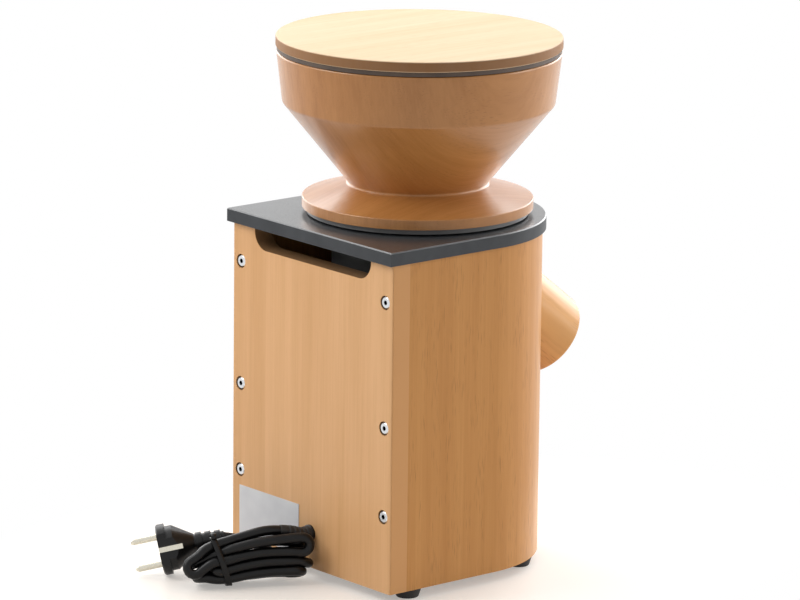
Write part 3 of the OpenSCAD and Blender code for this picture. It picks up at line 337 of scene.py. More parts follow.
# %% Rings into a mesh
def unit(vector):
    """The same direction with a length of one."""
    return vector / np.linalg.norm(vector)


def skin(name, rings, closed=False):
    """A smooth mesh through rings of points in mm, with ends filled unless it closes."""
    count = len(rings[0])
    pairs = [(i, (i + 1) % len(rings)) for i in range(len(rings) if closed else len(rings) - 1)]
    faces = [
        (i * count + k, i * count + (k + 1) % count, j * count + (k + 1) % count, j * count + k)
        for i, j in pairs
        for k in range(count)
    ]
    if not closed:
        faces += [tuple(range(count)), tuple(range((len(rings) - 1) * count, len(rings) * count))]
    mesh = bpy.data.meshes.new(name)
    mesh.from_pydata([tuple(p * MM) for ring in rings for p in ring], [], faces)
    shape = bmesh.new()
    shape.from_mesh(mesh)
    bmesh.ops.recalc_face_normals(shape, faces=shape.faces)
    shape.to_mesh(mesh)
    shape.free()
    mesh.shade_smooth()
    piece = bpy.data.objects.new(name, mesh)
    scene.collection.objects.link(piece)
    return piece


print("unit of (3, 4):", unit(np.array([3, 4])))

# %% [markdown]
# ## The sleeve
#
# Where a mains lead leaves a housing it runs in a ribbed rubber sleeve that tapers
# outwards, so it can't be bent sharply there. Between its ribs the rubber is thinner,
# and a clipped cosine along the cord gives broad ribs with narrow grooves.

# %% Ribbed sleeve where the cord leaves the back board
SLEEVE_LENGTH, SLEEVE_STEP = 24.0, 0.3
SLEEVE_ROOT, SLEEVE_END = 5.6, 3.9  # radius at the board and at the free end
RIB_PITCH, GROOVE_DEPTH = 3.6, 0.6
GROOVES_FROM, GROOVES_TO = 2, 21  # both ends are plain
STEEPNESS, LOWERED = 4, 2.4  # a steep cosine, lowered and clipped, is a narrow groove
POINTS_ROUND = 32
turn = np.linspace(0, 2 * np.pi, POINTS_ROUND, endpoint=False)
rings = []
for far in np.arange(SLEEVE_STEP, SLEEVE_LENGTH, SLEEVE_STEP):
    centre, ahead = (
        np.array([np.interp(d, cord_travelled, cord_line[:, k]) for k in range(3)])
        for d in (far, far + 1)
    )
    forward = unit(ahead - centre)
    side = unit(np.cross(forward, [0, 0, 1]))
    upward = np.cross(side, forward)
    radius = np.interp(far, [0, SLEEVE_LENGTH], [SLEEVE_ROOT, SLEEVE_END])
    groove = np.clip(STEEPNESS * math.cos(2 * np.pi * far / RIB_PITCH) - LOWERED, 0, 1)
    radius -= GROOVE_DEPTH * groove * (GROOVES_FROM < far < GROOVES_TO)
    circle = np.outer(np.cos(turn), side) + np.outer(np.sin(turn), upward)
    rings.append(centre + radius * circle)
cord_sleeve = skin("cord_sleeve", rings)
print("sleeve rings:", len(rings))

# %% [markdown]
# ## The tie
#
# A flat, flexible band holds the hank together, a little aslant, and ends in a small
# knot on top. A band under tension takes the shortest way round what it holds. We find
# that way from the strands themselves: in every direction round the hank, the strand
# that lies furthest out carries the band.

# %% The way round the pinched strands
TIE_AT, TIE_SLANT, TIE_LEVEL = 62.6, 0.32, 18  # along the hank, lean, height of its middle
TIE_W, TIE_T, TIE_STEP = 4.2, 1.3, 1.2  # width, thickness, distance from ring to ring
TIE_CLEAR = 0.1  # space between the strands and the band
DIRECTIONS = 180
PINCHED_WITHIN, PINCHED_UP_TO = 4, 12  # strands near the band, and not past this across
from_hank = cord_line - hank_at
along_hank, across_hank, up = from_hank @ hank_along, from_hank @ hank_across, cord_line[:, 2]
off_band = np.abs(along_hank - TIE_AT - TIE_SLANT * (up - TIE_LEVEL))
pinched = (off_band < PINCHED_WITHIN) & (across_hank < PINCHED_UP_TO)
section = np.column_stack([across_hank, up])[pinched]
loop = []
for angle in np.linspace(0, 2 * np.pi, DIRECTIONS, endpoint=False):
    outward = np.array([math.cos(angle), math.sin(angle)])
    furthest = section[np.argmax(section @ outward)]
    loop.append(furthest + outward * (CORD_D / 2 + TIE_T / 2 + TIE_CLEAR))
loop = np.array([(*point, 0) for point in loop + loop[:1]])
loop = resample(loop, TIE_STEP)[:-1, :2]
print("tie round", int(pinched.sum()), "points, length mm:", round(len(loop) * TIE_STEP))

# %% [markdown]
# ## The band and its knot
#
# The band's flat section is carried round that way and joined into a closed skin. The
# knot is a second, open skin: the same section, a little narrower, through a few points
# that curl over the band at its crown.

# %% Flat tie round the hank and its knot
KNOT_W = 3.6
ON_TABLE = 0.05  # the band is pressed flat where it would go lower, in mm
TO_CROWN = np.array([-0.35, 1.0])  # up, and a little to the side across the hank
band = [  # its section, in shares of its width and thickness, with the corners cut
    (0.5, 0.3), (0.5, -0.3), (0.46, -0.5), (-0.46, -0.5),
    (-0.5, -0.3), (-0.5, 0.3), (-0.46, 0.5), (0.46, 0.5),
]


def band_ring(before, here, after, width, height, side=1):
    """The band's section at a point of a line across the hank, leaning by its height."""
    tangent = unit(after - before)
    outward = side * np.array([tangent[1], -tangent[0]])
    start = TIE_AT + TIE_SLANT * (height - TIE_LEVEL)
    return in_hank([(start + w * width, *(here + outward * t * TIE_T)) for w, t in band])


around = zip(np.roll(loop, 1, 0), loop, np.roll(loop, -1, 0))
rings = [band_ring(before, here, after, TIE_W, here[1]) for before, here, after in around]
for ring in rings:
    ring[:, 2] = np.maximum(ring[:, 2], ON_TABLE)
tie_band = skin("tie_band", rings, closed=True)
crown = loop[np.argmax(loop @ TO_CROWN)]
knot = [(0, 0.2), (-1.2, 1.2), (-1.0, 2.6), (0.6, 3.4), (2.8, 3.0), (4.6, 1.6), (6.0, 0.4)]
knot = smooth_through(np.array([(a, b, 0) for a, b in knot], float), 4)[:, :2] + crown
padded = np.vstack([knot[:1], knot, knot[-1:]])
rings = [
    band_ring(before, here, after, KNOT_W, crown[1], side=-1)
    for before, here, after in zip(padded, padded[1:], padded[2:])
]
tie_knot = skin("tie_knot", rings)
for piece in (cord_sleeve, tie_band, tie_knot):
    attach(piece, "housing")
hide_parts("cord_tie")
print("tie rings:", len(loop), "knot rings:", len(rings))

# %% [markdown]

# %% [markdown]
# ## Floor and backdrop
#
# The mill stands on white paper. Near it the floor takes a soft shadow, and further
# out it turns into pure white, as in a studio where the paper is overexposed. A mask
# that grows with the distance mixes the two. Only the camera and reflections see the
# white, so the light that the paper sends back to the mill stays natural.

# %% Which rays see the studio as it looks
def sharp_rays(tree):
    """The kinds of ray, and 1 for those of the camera and of reflections."""
    rays = node(tree, "LightPath")
    either = {0: rays.outputs["Is Camera Ray"], 1: rays.outputs["Is Glossy Ray"]}
    return rays, node(tree, "Math", either, operation="MAXIMUM").outputs[0]


print("sharp rays ready")

# %% Paper floor
FADE_AT = (0, 0.06, 0)  # the middle of the near floor, in metres
FADE_X, FADE_Y = 0.11, 0.17  # its half axes, an oval that holds the mill and its hank
FADE_OUT = 2.2  # at this many times the oval the floor is pure white
PAPER_LIFT = 0.36  # brightens the near floor, so the shadow stays soft
bpy.ops.mesh.primitive_plane_add(size=30)
floor = bpy.context.object
floor.name = "studio_floor"
tree, shader = finish_of("studio_paper", 0.45)
shader.inputs["Base Color"].default_value = linear("#d8d2cb")
place = node(tree, "NewGeometry").outputs["Position"]
from_mill = node(tree, "VectorMath", {0: place, 1: FADE_AT}, operation="SUBTRACT").outputs[0]
oval = {0: from_mill, 1: (1 / FADE_X, 1 / FADE_Y, 0)}
squeezed = node(tree, "VectorMath", oval, operation="MULTIPLY").outputs[0]
distance = node(tree, "VectorMath", {0: squeezed}, operation="LENGTH").outputs["Value"]
fade = node(
    tree,
    "MapRange",
    {"Value": distance, "From Min": 1.0, "From Max": FADE_OUT},
    interpolation_type="SMOOTHSTEP",
).outputs["Result"]
_, sharp = sharp_rays(tree)
lift = node(tree, "Math", {0: sharp, 1: PAPER_LIFT}, operation="MULTIPLY").outputs[0]
glow = node(tree, "Emission", {"Color": linear("#fffcf8"), "Strength": lift}).outputs[0]
near_floor = node(tree, "AddShader", {0: shader.outputs[0], 1: glow}).outputs[0]
white = node(tree, "Emission", {"Color": (1, 1, 1, 1), "Strength": 1.0}).outputs[0]
seen = node(tree, "Math", {0: sharp, 1: fade}, operation="MULTIPLY").outputs[0]
blend = node(tree, "MixShader", {0: seen, 1: near_floor, 2: white}).outputs[0]
tree.links.new(blend, tree.nodes["Material Output"].inputs["Surface"])
floor.data.materials.append(finishes["studio_paper"])
print("half axes of the oval floor in m:", round(FADE_X * FADE_OUT, 3), round(FADE_Y * FADE_OUT, 3))

# %% [markdown]
# ## The world
#
# A world is at once what lies behind the mill and a light from all sides. A dim, warm
# one lights the mill without washing out its shadows, and the rays that look straight
# at it see pure white instead.

# %% White world
ROOM_LIGHT = 0.3  # the room's own light on the mill
world = bpy.data.worlds.new("studio_white")
scene.world = world
world.use_nodes = True
sky = world.node_tree
sky.nodes.clear()
rays, sharp = sharp_rays(sky)
through = {0: sharp, 1: rays.outputs["Is Transmission Ray"]}
clear = node(sky, "Math", through, operation="MAXIMUM").outputs[0]
dim = node(sky, "Background", {"Color": linear("#f6f3ee"), "Strength": ROOM_LIGHT}).outputs[0]
backdrop = node(sky, "Background", {"Color": (1, 1, 1, 1), "Strength": 1.0}).outputs[0]
either = node(sky, "MixShader", {0: clear, 1: dim, 2: backdrop}).outputs[0]
node(sky, "OutputWorld", {"Surface": either})
scene.view_settings.view_transform = "Standard"
print("world made:", world.name)

# %% [markdown]
# ## Lamps
#
# Soft boxes stand left and right of the mill and, stronger, behind it on both sides, so
# that edges shine and the faces towards the camera stay darker, which models the round
# shapes. A weak one hangs above for the lid.

# %% Soft boxes
MIDDLE_OF_MILL = (0, 0.02, 0.2)
soft_boxes = {  # place, width and height in metres, watts
    "left_box": ((0.66, 1.06, 1.15), 0.9, 0.9, 13.5),
    "right_box": ((-1.1, -1.3, 0.7), 0.9, 1.2, 12),
    "left_rim_box": ((1.85, -0.05, 1.0), 1.6, 2.0, 33),
    "right_rim_box": ((0.35, -1.85, 1.0), 1.6, 2.0, 45),
    "top_box": ((0.3, -0.2, 1.9), 1.6, 1.6, 4),
}
for name, (place, width, height, watts) in soft_boxes.items():
    lamp = bpy.data.lights.new(name, "AREA")
    lamp.shape = "RECTANGLE"
    lamp.size, lamp.size_y = width, height
    lamp.energy = watts
    box = bpy.data.objects.new(name, lamp)
    box.location = place
    towards = Vector(MIDDLE_OF_MILL) - Vector(place)
    box.rotation_euler = towards.to_track_quat("-Z", "Y").to_euler()
    scene.collection.objects.link(box)

# %% [markdown]
# ## Wood: the grain's own directions
#
# Every wooden piece is beech. An image texture would need to be unwrapped on each piece
# and would show the same spot twice, so the wood is worked out from a place in space
# instead, as if each piece were cut from a solid block. The pattern only looks right
# when it follows the fibres, so every piece says which way they run.

# %% Places in the wood
X, Y, Z = (1, 0, 0), (0, 1, 0), (0, 0, 1)


def in_grain(tree, across, upright, along, shift):
    """The distance across the bands, and the place across, upright and along, in mm."""
    metres = node(tree, "TexCoord").outputs["Object"]
    millimetres = node(tree, "VectorMath", {0: metres, "Scale": 1 / MM}, operation="SCALE")
    moved = node(tree, "VectorMath", {0: millimetres.outputs[0], 1: shift}, operation="ADD")
    dots = [
        node(tree, "VectorMath", {0: moved.outputs[0], 1: axis}, operation="DOT_PRODUCT")
        for axis in (across, upright, along)
    ]
    parts = {k: dot.outputs["Value"] for k, dot in enumerate(dots)}
    return parts[0], node(tree, "CombineXYZ", parts).outputs[0]


def stretched(tree, grain, sizes):
    """The grain's coordinates divided by a size in mm for each direction."""
    shares = tuple(1 / size for size in sizes)
    return node(tree, "VectorMath", {0: grain, 1: shares}, operation="MULTIPLY").outputs[0]


print("grain directions ready")

# %% [markdown]
# ## Wood: bands and rays
#
# Beech is pale and pinkish, has soft growth bands and fine lines in them, and is full
# of short dark dashes, its rays, lying along the grain. Noise that is stretched along
# the grain gives bands and lines, and small stretched cells give the rays. Real rays
# are a few tenths of a millimetre wide and a few long, too fine to show here, so ours
# are drawn about three times as large, and only where a slow noise lets them through.

# %% Beech pattern
BANDS = (11, 60, 320)  # the sizes are in mm: across, upright, along
LINES = (1.3, 12, 70)
RAYS = (1.1, 1.3, 14)  # coarser than real, so they show
RAY_FADE = (0.08, 0.4)  # from a ray's middle to its rim, in shares of a cell
RAY_PATCHES = (6, 14, 40)
PATCH_FADE = (0.4, 0.65)  # values of the slow noise between which rays come up
LINE_SHARE = 0.55  # how much the lines add to the bands
TONE_MIDDLE, TONE_SPREAD = 0.775, 0.3  # of bands and lines added up


def beech_pattern(tree, grain, flecks):
    """The lines, bands and lines added up, their tone from 0 to 1, and the rays."""
    soft = {"Scale": 1.0, "Detail": 3.0, "Roughness": 0.55}
    crisp = {"Scale": 1.0, "Detail": 2.0, "Roughness": 0.6}
    band_noise = {"Vector": stretched(tree, grain, BANDS), **soft}
    line_noise = {"Vector": stretched(tree, grain, LINES), **crisp}
    bands = node(tree, "TexNoise", band_noise).outputs["Fac"]
    lines = node(tree, "TexNoise", line_noise).outputs["Fac"]
    ray_cells = {"Vector": stretched(tree, grain, RAYS), "Scale": 1.0, "Randomness": 1.0}
    cells = node(tree, "TexVoronoi", ray_cells).outputs["Distance"]
    in_ray = {"Value": cells, "From Min": RAY_FADE[0], "From Max": RAY_FADE[1]}
    in_ray |= {"To Min": flecks, "To Max": 0.0}
    dashes = node(tree, "MapRange", in_ray).outputs["Result"]
    patches = {"Vector": stretched(tree, grain, RAY_PATCHES), "Scale": 1.0, "Detail": 1.0}
    patchy = node(tree, "TexNoise", patches).outputs["Fac"]
    open_patch = {"Value": patchy, "From Min": PATCH_FADE[0], "From Max": PATCH_FADE[1]}
    some = node(tree, "MapRange", open_patch).outputs["Result"]
    shown = {0: dashes, 1: some}
    rays_seen = node(tree, "Math", shown, operation="MULTIPLY").outputs[0]
    fine = node(tree, "Math", {0: lines, 1: LINE_SHARE}, operation="MULTIPLY").outputs[0]
    mixed = node(tree, "Math", {0: bands, 1: fine}, operation="ADD").outputs[0]
    low, high = TONE_MIDDLE - TONE_SPREAD, TONE_MIDDLE + TONE_SPREAD
    tone = node(tree, "MapRange", {"Value": mixed, "From Min": low, "From Max": high})
    return lines, mixed, tone.outputs["Result"], rays_seen


print("ray cells in mm:", RAYS)

# %% [markdown]
# ## Wood: staves, edges and painted shade in cuts
#
# Boards and blanks are glued up from staves, and no two staves have quite the same
# tone: the number of the stave picks one. Where a piece shows its end grain or a sawn
# edge, the open fibres drink the finish and turn darker; on the lid the darker edge is
# partly painted shade too. Inside the slot and the holes cut through the back board, a
# darker colour is painted shade. These three are masks over the same pattern.

# %% Stave, edge and cut masks
STAVE_STEP = 0.2  # the largest step in tone from a stave to the middle tone
EDGE_SHARE = 0.85  # how much of the edge's colour covers the face's
EDGE_TO_FACE = (0.3, 0.8)  # cosine of the tilt at which an edge ends and a face begins
SHADE_HALF_WIDTH = 0.087  # metres; further out the board's own edges begin
SHADE_BELOW_FACE = 0.0004  # metres below the board's outer face


def stave_tone(tree, tone, across, stave):
    """The tone with a step from stave to stave, each `stave` mm wide."""
    which = node(tree, "Math", {0: across, 1: stave}, operation="DIVIDE").outputs[0]
    whole = node(tree, "Math", {0: which}, operation="FLOOR").outputs[0]
    chance = node(tree, "TexWhiteNoise", {"W": whole}, noise_dimensions="1D").outputs["Value"]
    steps = {"Value": chance, "To Min": -STAVE_STEP, "To Max": STAVE_STEP}
    offset = node(tree, "MapRange", steps).outputs["Result"]
    return node(tree, "Math", {0: tone, 1: offset}, operation="ADD", use_clamp=True).outputs[0]


def edge_colour(tree, colour, upright, edge):
    """The colour, with `edge` on faces that don't look along `upright`."""
    normal = node(tree, "TexCoord").outputs["Normal"]
    dot = node(tree, "VectorMath", {0: normal, 1: upright}, operation="DOT_PRODUCT")
    facing = node(tree, "Math", {0: dot.outputs["Value"]}, operation="ABSOLUTE").outputs[0]
    turned = {"Value": facing, "From Min": EDGE_TO_FACE[0], "From Max": EDGE_TO_FACE[1]}
    turned |= {"To Min": EDGE_SHARE, "To Max": 0.0}
    rim = node(tree, "MapRange", turned).outputs["Result"]
    return node(tree, "Mix", {0: rim, 6: colour, 7: linear(edge)}, data_type="RGBA").outputs[2]


def painted_opening_shade(tree, colour, opening_shade):
    """The colour, with a painted shade inside the openings through the back board."""
    place = node(tree, "SeparateXYZ", {0: node(tree, "TexCoord").outputs["Object"]})
    below = {0: place.outputs["Y"], 1: BOARD_FACE * MM - SHADE_BELOW_FACE}
    behind = node(tree, "Math", below, operation="LESS_THAN").outputs[0]
    width = node(tree, "Math", {0: place.outputs["X"]}, operation="ABSOLUTE").outputs[0]
    within = node(tree, "Math", {0: width, 1: SHADE_HALF_WIDTH}, operation="LESS_THAN").outputs[0]
    inside = node(tree, "Math", {0: behind, 1: within}, operation="MULTIPLY").outputs[0]
    return node(tree, "Mix", {0: inside, 6: colour, 7: linear(opening_shade)}, data_type="RGBA").outputs[2]


print("staves, edges and cuts ready")

# %% [markdown]
# ## Wood: the finish on it
#
# Lacquer and oil lie on beech as a thin clear coat that shines at a low angle. Wood and
# lacquer bend light almost alike, so the wood under a coat hardly shines by itself, and
# its specular level is low. The wood's own roughness is about 0.4, and a little more in
# the darker bands.

# %% Beech
PATTERN_RANGE = (0.5, 1.1)  # of bands and lines added up
DULL_STEPS = (-0.04, 0.08)  # the roughness at its two ends, less the wood's own
LINE_DEPTH_MM = 0.1


def beech(
    name, pale, deep, ray, across, along, upright,
    stave=0.0, shift=(0, 0, 0), flecks=0.4, coat=0.3, dull=0.42, edge=None, opening_shade=None,
):
    """Beech with its grain along `along` and its bands crossing `across`.

    `pale`, `deep` and `ray` are colours, `stave` is a stave's width in mm, `shift` moves
    the pattern so no two pieces match, and `flecks` is how strongly the rays show. `coat`
    is how much lacquer or polished oil lies on the wood, and `dull` is the wood's own
    roughness. `edge` colours the edges, on the lid partly as painted shade, and the last
    argument is a painted shade inside the slot and holes of the back board.
    """
    sheen = {"Coat_Weight": coat, "Coat_Roughness": 0.2, "Specular_IOR_Level": 0.2}
    tree, shader = finish_of(name, dull, **sheen)
    across_mm, grain = in_grain(tree, across, upright, along, shift)
    lines, mixed, tone, rays_seen = beech_pattern(tree, grain, flecks)
    if stave:
        tone = stave_tone(tree, tone, across_mm, stave)
    shades = {0: tone, 6: linear(pale), 7: linear(deep)}
    body = node(tree, "Mix", shades, data_type="RGBA").outputs[2]
    with_rays = {0: rays_seen, 6: body, 7: linear(ray)}
    colour = node(tree, "Mix", with_rays, data_type="RGBA").outputs[2]
    # On the lid the darker edge colour is partly painted shade.
    if edge:
        colour = edge_colour(tree, colour, upright, edge)
    # Painted shade: a darker colour inside the slot and holes of the back board.
    if opening_shade:
        colour = painted_opening_shade(tree, colour, opening_shade)
    tree.links.new(colour, shader.inputs["Base Color"])
    satin = {"Value": mixed, "From Min": PATTERN_RANGE[0], "From Max": PATTERN_RANGE[1]}
    satin |= {"To Min": dull + DULL_STEPS[0], "To Max": dull + DULL_STEPS[1]}
    roughness = node(tree, "MapRange", satin).outputs["Result"]
    tree.links.new(roughness, shader.inputs["Roughness"])
    furrows = {"Strength": 0.1, "Distance": LINE_DEPTH_MM * MM, "Height": lines}
    bump = node(tree, "Bump", furrows)
    tree.links.new(bump.outputs["Normal"], shader.inputs["Normal"])


# The back board: solid beech staves glued edge to edge, planed, sanded and clear
# lacquered. It looks flat and even, in stripes of slightly different tone, its rays
# hardly show, its sawn edge is darker, and inside the slot and holes a darker colour is
# painted shade.
beech(
    "beech_board", "#e6b582", "#d8a570", "#b07c4c", across=X, along=Z, upright=Y,
    stave=29, shift=(7, 0, 0), flecks=0.1, edge="#d2995e", opening_shade="#94714f",
)
# The body: beech plywood, its veneers peeled from a steamed log, bent hot round a form
# and clear lacquered. Steaming makes it warm and even, and peeling lays the rays open.
beech(
    "beech_veneer", "#d19652", "#c08443", "#8d5a2a", across=Y, along=Z, upright=X,
    shift=(0, 31, 0), flecks=0.55,
)
# The hopper: turned on a lathe from a blank of glued staves, then oiled and polished as
# it spins. Much end grain drinks the oil, so it is the darkest wood here, and glossier.
beech(
    "turned_beech", "#c08549", "#aa7037", "#7a4b27", across=X, along=Y, upright=Z,
    stave=42, shift=(13, 0, 0), flecks=0.3, coat=0.8,
)
# The lid: a flat disc, sanded and thinly oiled. Without a coat it stays nearly matt, and
# its pale tone is partly painted light on its top. Its turned edge is much darker, partly
# as end grain and partly as painted shade.
beech(
    "lid_beech", "#edd4b5", "#e3c59f", "#c69e72", across=X, along=Y, upright=Z,
    stave=47, shift=(17, 0, 0), flecks=0.35, coat=0.0, dull=0.6, edge="#815228",
)
# The corner blocks and the base board: plain plywood, sanded and sealed, greyer.
beech("plywood", "#c9a77c", "#b8925f", "#8e6a45", across=Y, along=X, upright=Z)
print("wood finishes:", [name for name in finishes if name != "studio_paper"])

# %% [markdown]
# ## The spout's wood
#
# The spout is turned too, but its grain follows its own axis, which slopes down to the
# front. Lengthwise fibres drink less oil than the hopper's end grain, so it is paler.

# %% Beech along the spout
spout_slope = math.radians(38)
spout_along = (0, -math.cos(spout_slope), -math.sin(spout_slope))
spout_upright = (0, -math.sin(spout_slope), math.cos(spout_slope))
beech(
    "spout_beech", "#e3ad6c", "#cb9254", "#9c6c40",
    across=X, along=spout_along, upright=spout_upright, shift=(5, 0, 3),
)
print("spout's grain runs along", tuple(round(v, 2) for v in spout_along))

# %% [markdown]
# ## Laminate, plastics and rubber
#
# A pressed or moulded surface copies its mould: a fine, even grain that shows less as a
# pattern than in how soft a highlight is. So fine noise goes to the roughness and to a
# very low bump, and a broad one shifts the colour a little, as handling does. A sheet
# that is sawn to size has duller edges than faces, which the `sawn` option gives.

# %% Moulded and laminated surfaces
HANDLING = 60.0  # per metre, patches of about 17 mm
HANDLED_RANGE = (0.35, 0.65)  # values of the broad noise from one colour to the other
NOISE_RANGE = (0.3, 0.7)  # most values of a fine noise lie between these
GLOSS_STEP = 0.06  # how far the grain takes the roughness up and down
SHEET_EDGE_TO_FACE = (0.3, 0.9)  # cosine of the tilt from a sheet's edge to its face
SHEET_COAT = 0.9  # the pressed face shines like a clear coat
SHEET_MIRROR = (0.42, 0.5)  # specular level of the edge and of the face


def laminate_faces(tree, shader, dullness, sawn):
    """A sheet's roughness, `sawn` on its upright edges; its face gets a coat and shines."""
    facing = node(tree, "SeparateXYZ", {0: node(tree, "TexCoord").outputs["Normal"]}).outputs["Z"]
    ends = SHEET_EDGE_TO_FACE
    upward = {"Value": facing, "From Min": ends[0], "From Max": ends[1]}
    flat = node(tree, "MapRange", upward).outputs["Result"]
    coat = node(tree, "Math", {0: flat, 1: SHEET_COAT}, operation="MULTIPLY").outputs[0]
    tree.links.new(coat, shader.inputs["Coat Weight"])
    shine = upward | {"To Min": SHEET_MIRROR[0], "To Max": SHEET_MIRROR[1]}
    mirror = node(tree, "MapRange", shine).outputs["Result"]
    tree.links.new(mirror, shader.inputs["Specular IOR Level"])
    return node(tree, "Mix", {0: flat, 2: sawn, 3: dullness}).outputs[0]


def moulded(name, colour, worn, roughness, grain_mm, bump_mm, sawn=0.0, **sockets):
    """A moulded or pressed surface with a fine grain; `worn` is its handled colour."""
    tree, shader = finish_of(name, roughness, **sockets)
    place = node(tree, "TexCoord").outputs["Object"]
    grain = {"Vector": place, "Scale": 1 / (grain_mm * MM), "Detail": 3.0}
    fine = node(tree, "TexNoise", grain).outputs["Fac"]
    broad = node(tree, "TexNoise", {"Vector": place, "Scale": HANDLING, "Detail": 2.0})
    handled = {"Value": broad.outputs["Fac"]}
    handled |= {"From Min": HANDLED_RANGE[0], "From Max": HANDLED_RANGE[1]}
    shade = node(tree, "MapRange", handled).outputs["Result"]
    shades = {0: shade, 6: linear(colour), 7: linear(worn)}
    tone = node(tree, "Mix", shades, data_type="RGBA").outputs[2]
    tree.links.new(tone, shader.inputs["Base Color"])
    gloss = {"Value": fine, "From Min": NOISE_RANGE[0], "From Max": NOISE_RANGE[1]}
    gloss |= {"To Min": roughness - GLOSS_STEP, "To Max": roughness + GLOSS_STEP}
    dullness = node(tree, "MapRange", gloss).outputs["Result"]
    if sawn:
        dullness = laminate_faces(tree, shader, dullness, sawn)
    tree.links.new(dullness, shader.inputs["Roughness"])
    bump = node(tree, "Bump", {"Strength": 0.3, "Distance": bump_mm * MM, "Height": fine})
    tree.links.new(bump.outputs["Normal"], shader.inputs["Normal"])


print("moulded surfaces ready")

# %% [markdown]
# ## What is moulded, pressed or extruded
#
# Each finish gives two close colours, the roughness, the size of its grain and its
# depth, both in millimetres. The moulds' real grain is about a tenth of a millimetre,
# too fine to show, so it is drawn several times as coarse.

# %% Moulded and laminated finishes
# The top plate: high-pressure laminate, papers in resin pressed between satin plates.
# Nearly black, it picks up the bright studio at a low angle, and its sawn edge doesn't.
moulded("slate_laminate", "#2b2e32", "#34373b", 0.3, 0.6, 0.01, sawn=0.6, Coat_Roughness=0.33)
# Chamber, outlet and threads: glass-filled nylon, moulded. Satin, with a light mottle.
moulded("grey_composite", "#6a6b6c", "#747576", 0.45, 0.8, 0.02)
# The lid's ring: soft sealing rubber, moulded and dull. Its dark brown-grey is partly
# painted shade of the gap under the lid.
moulded("grey_seal", "#4d4038", "#594b41", 0.6, 0.8, 0.03)
# Feet and sleeve: black rubber, pressed in a mould. Matt, without a sharp highlight.
moulded("foot_rubber", "#121213", "#1a1a1c", 0.6, 0.8, 0.04)
# Switch, fan, grip and plug: plastic from a mould with an eroded, finely rough face,
# so their shine is small and soft.
moulded("black_plastic", "#0c0c0d", "#121213", 0.36, 0.5, 0.02, Specular_IOR_Level=0.3)
# The cord: flexible PVC, extruded round its wires. Smooth, with long soft highlights.
moulded("black_cord", "#0b0b0c", "#111112", 0.34, 1.2, 0.02, Specular_IOR_Level=0.25)
# The terminal block: nylon, moulded. Ivory and satin.
moulded("ivory_plastic", "#e3dcc6", "#d8cfb6", 0.4, 0.6, 0.02)
# The label: plain polyester film, rolled smooth, blank. A cool, even, satin white.
moulded("blank_film", "#d3d5da", "#dadce0", 0.4, 0.5, 0.01)
# The shaft's seal: pressed wool felt. Loose fibres scatter all light, so no shine.
moulded("felt", "#d9d2c0", "#c9c0aa", 0.95, 0.4, 0.2)
print("finishes so far:", len(finishes))

# %% [markdown]
# ## Metals
#
# How a metal was made shows in how clear its reflections are. Ground and drawn ones are
# smooth, plated ones are bright and slightly clouded, cast and punched ones are dull.
# Fine noise mixes two close tones and moves the roughness with them. The back board's
# screws have deep sockets that hardly send light back, so below a depth they get a
# painted black shade.

# %% Clouded metal
CLOUD_GLOSS = (-0.06, 0.08)  # how far the clouds take the roughness down and up
SOCKET_SHADE_DEPTH = 0.9  # mm below the board's face, where a screw's socket gets painted black shade


def clouded_metal(name, bright, dark, roughness, cloud_mm, socket_shade_y=None, bump_mm=0.01):
    """A metal with slightly clouded tones; sockets deeper than the given depth in mm get painted
    black shade.
    """
    tree, shader = finish_of(name, roughness, metallic=1.0)
    place = node(tree, "TexCoord").outputs["Object"]
    clouds = {"Vector": place, "Scale": 1 / (cloud_mm * MM), "Detail": 4.0}
    cloud = node(tree, "TexNoise", clouds).outputs["Fac"]
    tones = {0: cloud, 6: linear(bright), 7: linear(dark)}
    shade = node(tree, "Mix", tones, data_type="RGBA").outputs[2]
    # Painted shade: black deep in the sockets, where little light comes back.
    if socket_shade_y is not None:
        depth = node(tree, "SeparateXYZ", {0: place}).outputs["Y"]
        deep = node(tree, "Math", {0: depth, 1: socket_shade_y * MM}, operation="LESS_THAN").outputs[0]
        black = {0: deep, 6: shade, 7: linear("#1c1c1e")}
        shade = node(tree, "Mix", black, data_type="RGBA").outputs[2]
    tree.links.new(shade, shader.inputs["Base Color"])
    gloss = {"Value": cloud, "From Min": NOISE_RANGE[0], "From Max": NOISE_RANGE[1]}
    gloss |= {"To Min": roughness + CLOUD_GLOSS[0], "To Max": roughness + CLOUD_GLOSS[1]}
    dullness = node(tree, "MapRange", gloss).outputs["Result"]
    tree.links.new(dullness, shader.inputs["Roughness"])
    bump = node(tree, "Bump", {"Strength": 0.3, "Distance": bump_mm * MM, "Height": cloud})
    tree.links.new(bump.outputs["Normal"], shader.inputs["Normal"])


# Screws, bolts, nut and clip: steel, zinc plated in a drum. Bluish, faintly clouded.
clouded_metal("zinc_steel", "#dcdfe2", "#b9bdc1", 0.3, 1.5)
# The back board's screws: the same, cleaner, with painted black shade deep in their hexagonal
# sockets.
clouded_metal("socket_screw", "#eceef0", "#cfd2d5", 0.28, 1.5, BOARD_FACE - SOCKET_SHADE_DEPTH)
# Pressure springs: steel wire, drawn through a die. Grey and smooth.
clouded_metal("spring_steel", "#b9bbbe", "#909397", 0.3, 1.0)
# Stator and rotor cores: punched electrical steel sheets in a stack. Dark and dull.
clouded_metal("lamination_steel", "#8f9092", "#6f7072", 0.5, 0.8)
# Windings: copper wire in clear enamel, wound. Red, and uneven from its many turns.
clouded_metal("copper_winding", "#c77c4c", "#a3572c", 0.35, 0.7, bump_mm=0.1)
# Shields, shelves and stone holders: die-cast aluminium. Pale, dull, faintly wavy.
clouded_metal("cast_aluminium", "#c9cbcd", "#adafb2", 0.55, 1.0, bump_mm=0.04)
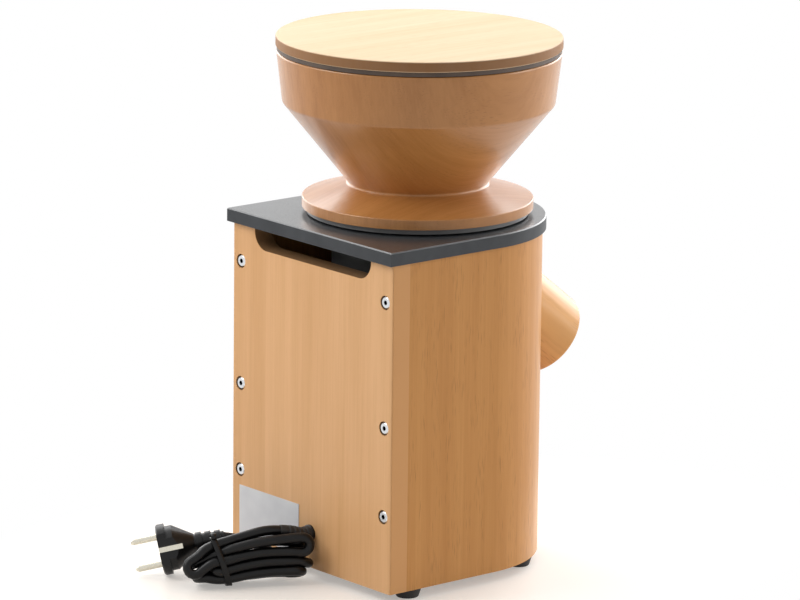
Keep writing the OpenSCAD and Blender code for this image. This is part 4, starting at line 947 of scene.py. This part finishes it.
# Bearing rings: hardened steel, ground and honed. The clearest reflections of all.
clouded_metal("bearing_steel", "#d5d7d9", "#bfc1c4", 0.15, 3.0)
# The capacitor: an aluminium can, deep drawn. An even, soft sheen.
clouded_metal("capacitor_can", "#d3d5d8", "#c0c2c6", 0.35, 2.0)
# Shaft, posts and guide pins: steel, ground round. Bright, and finely scratched.
clouded_metal("ground_steel", "#c8cacc", "#aeb0b3", 0.25, 0.8)
# The plug's pins: brass, nickel plated. Warmer than zinc, and smoother.
clouded_metal("nickel_plate", "#dedacd", "#c9c4b4", 0.22, 2.0)
print("finishes so far:", len(finishes))

# %% [markdown]
# ## The millstones
#
# Milling stones of this kind are corundum grit of about a millimetre in a mineral
# binder, cast and then dressed with furrows. Cells of the grit's size give its grains,
# and noise of the pores' size gives the bump. There is no shine at all.

# %% Bonded corundum
GRIT_MM, PORES_MM, PORE_DEPTH_MM = 0.9, 1.6, 0.3
tree, shader = finish_of("millstone", 0.9)
place = node(tree, "TexCoord").outputs["Object"]
grit = node(tree, "TexVoronoi", {"Vector": place, "Scale": 1 / (GRIT_MM * MM)})
pores = node(tree, "TexNoise", {"Vector": place, "Scale": 1 / (PORES_MM * MM), "Detail": 3.0})
tones = {0: grit.outputs["Distance"], 6: linear("#dedad2"), 7: linear("#a9a59c")}
stone = node(tree, "Mix", tones, data_type="RGBA")
tree.links.new(stone.outputs[2], shader.inputs["Base Color"])
pitted = {"Strength": 0.6, "Distance": PORE_DEPTH_MM * MM, "Height": pores.outputs["Fac"]}
bump = node(tree, "Bump", pitted)
tree.links.new(bump.outputs["Normal"], shader.inputs["Normal"])
print("stone finish:", finishes["millstone"].name)

# %% [markdown]
# ## Dressing the pieces
#
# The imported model's record says which material slot each node has, and the finishes
# above are kept under the slots' names. Two nodes get a variant of their slot's finish:
# the spout, whose grain runs another way, and the back board's screws.

# %% Put the finishes on the CAD nodes
slot_by_node = {s["node"]: s["material_slot"] for s in frame["record"]["subparts"]}
variants = {"spout": "spout_beech", "back_board_screws": "socket_screw"}
for name, piece in frame["nodes"].items():
    piece.data.materials.clear()
    piece.data.materials.append(finishes[variants.get(name, slot_by_node[name])])
for piece in (mains_cord, tie_band, tie_knot):
    piece.data.materials.append(finishes["black_cord"])
cord_sleeve.data.materials.append(finishes["foot_rubber"])
print("dressed nodes:", len(slot_by_node))

# %% [markdown]
# ## Finishing
#
# The view layer is updated, so that every piece stands where it was put.

# %% Finish
bpy.context.view_layer.update()
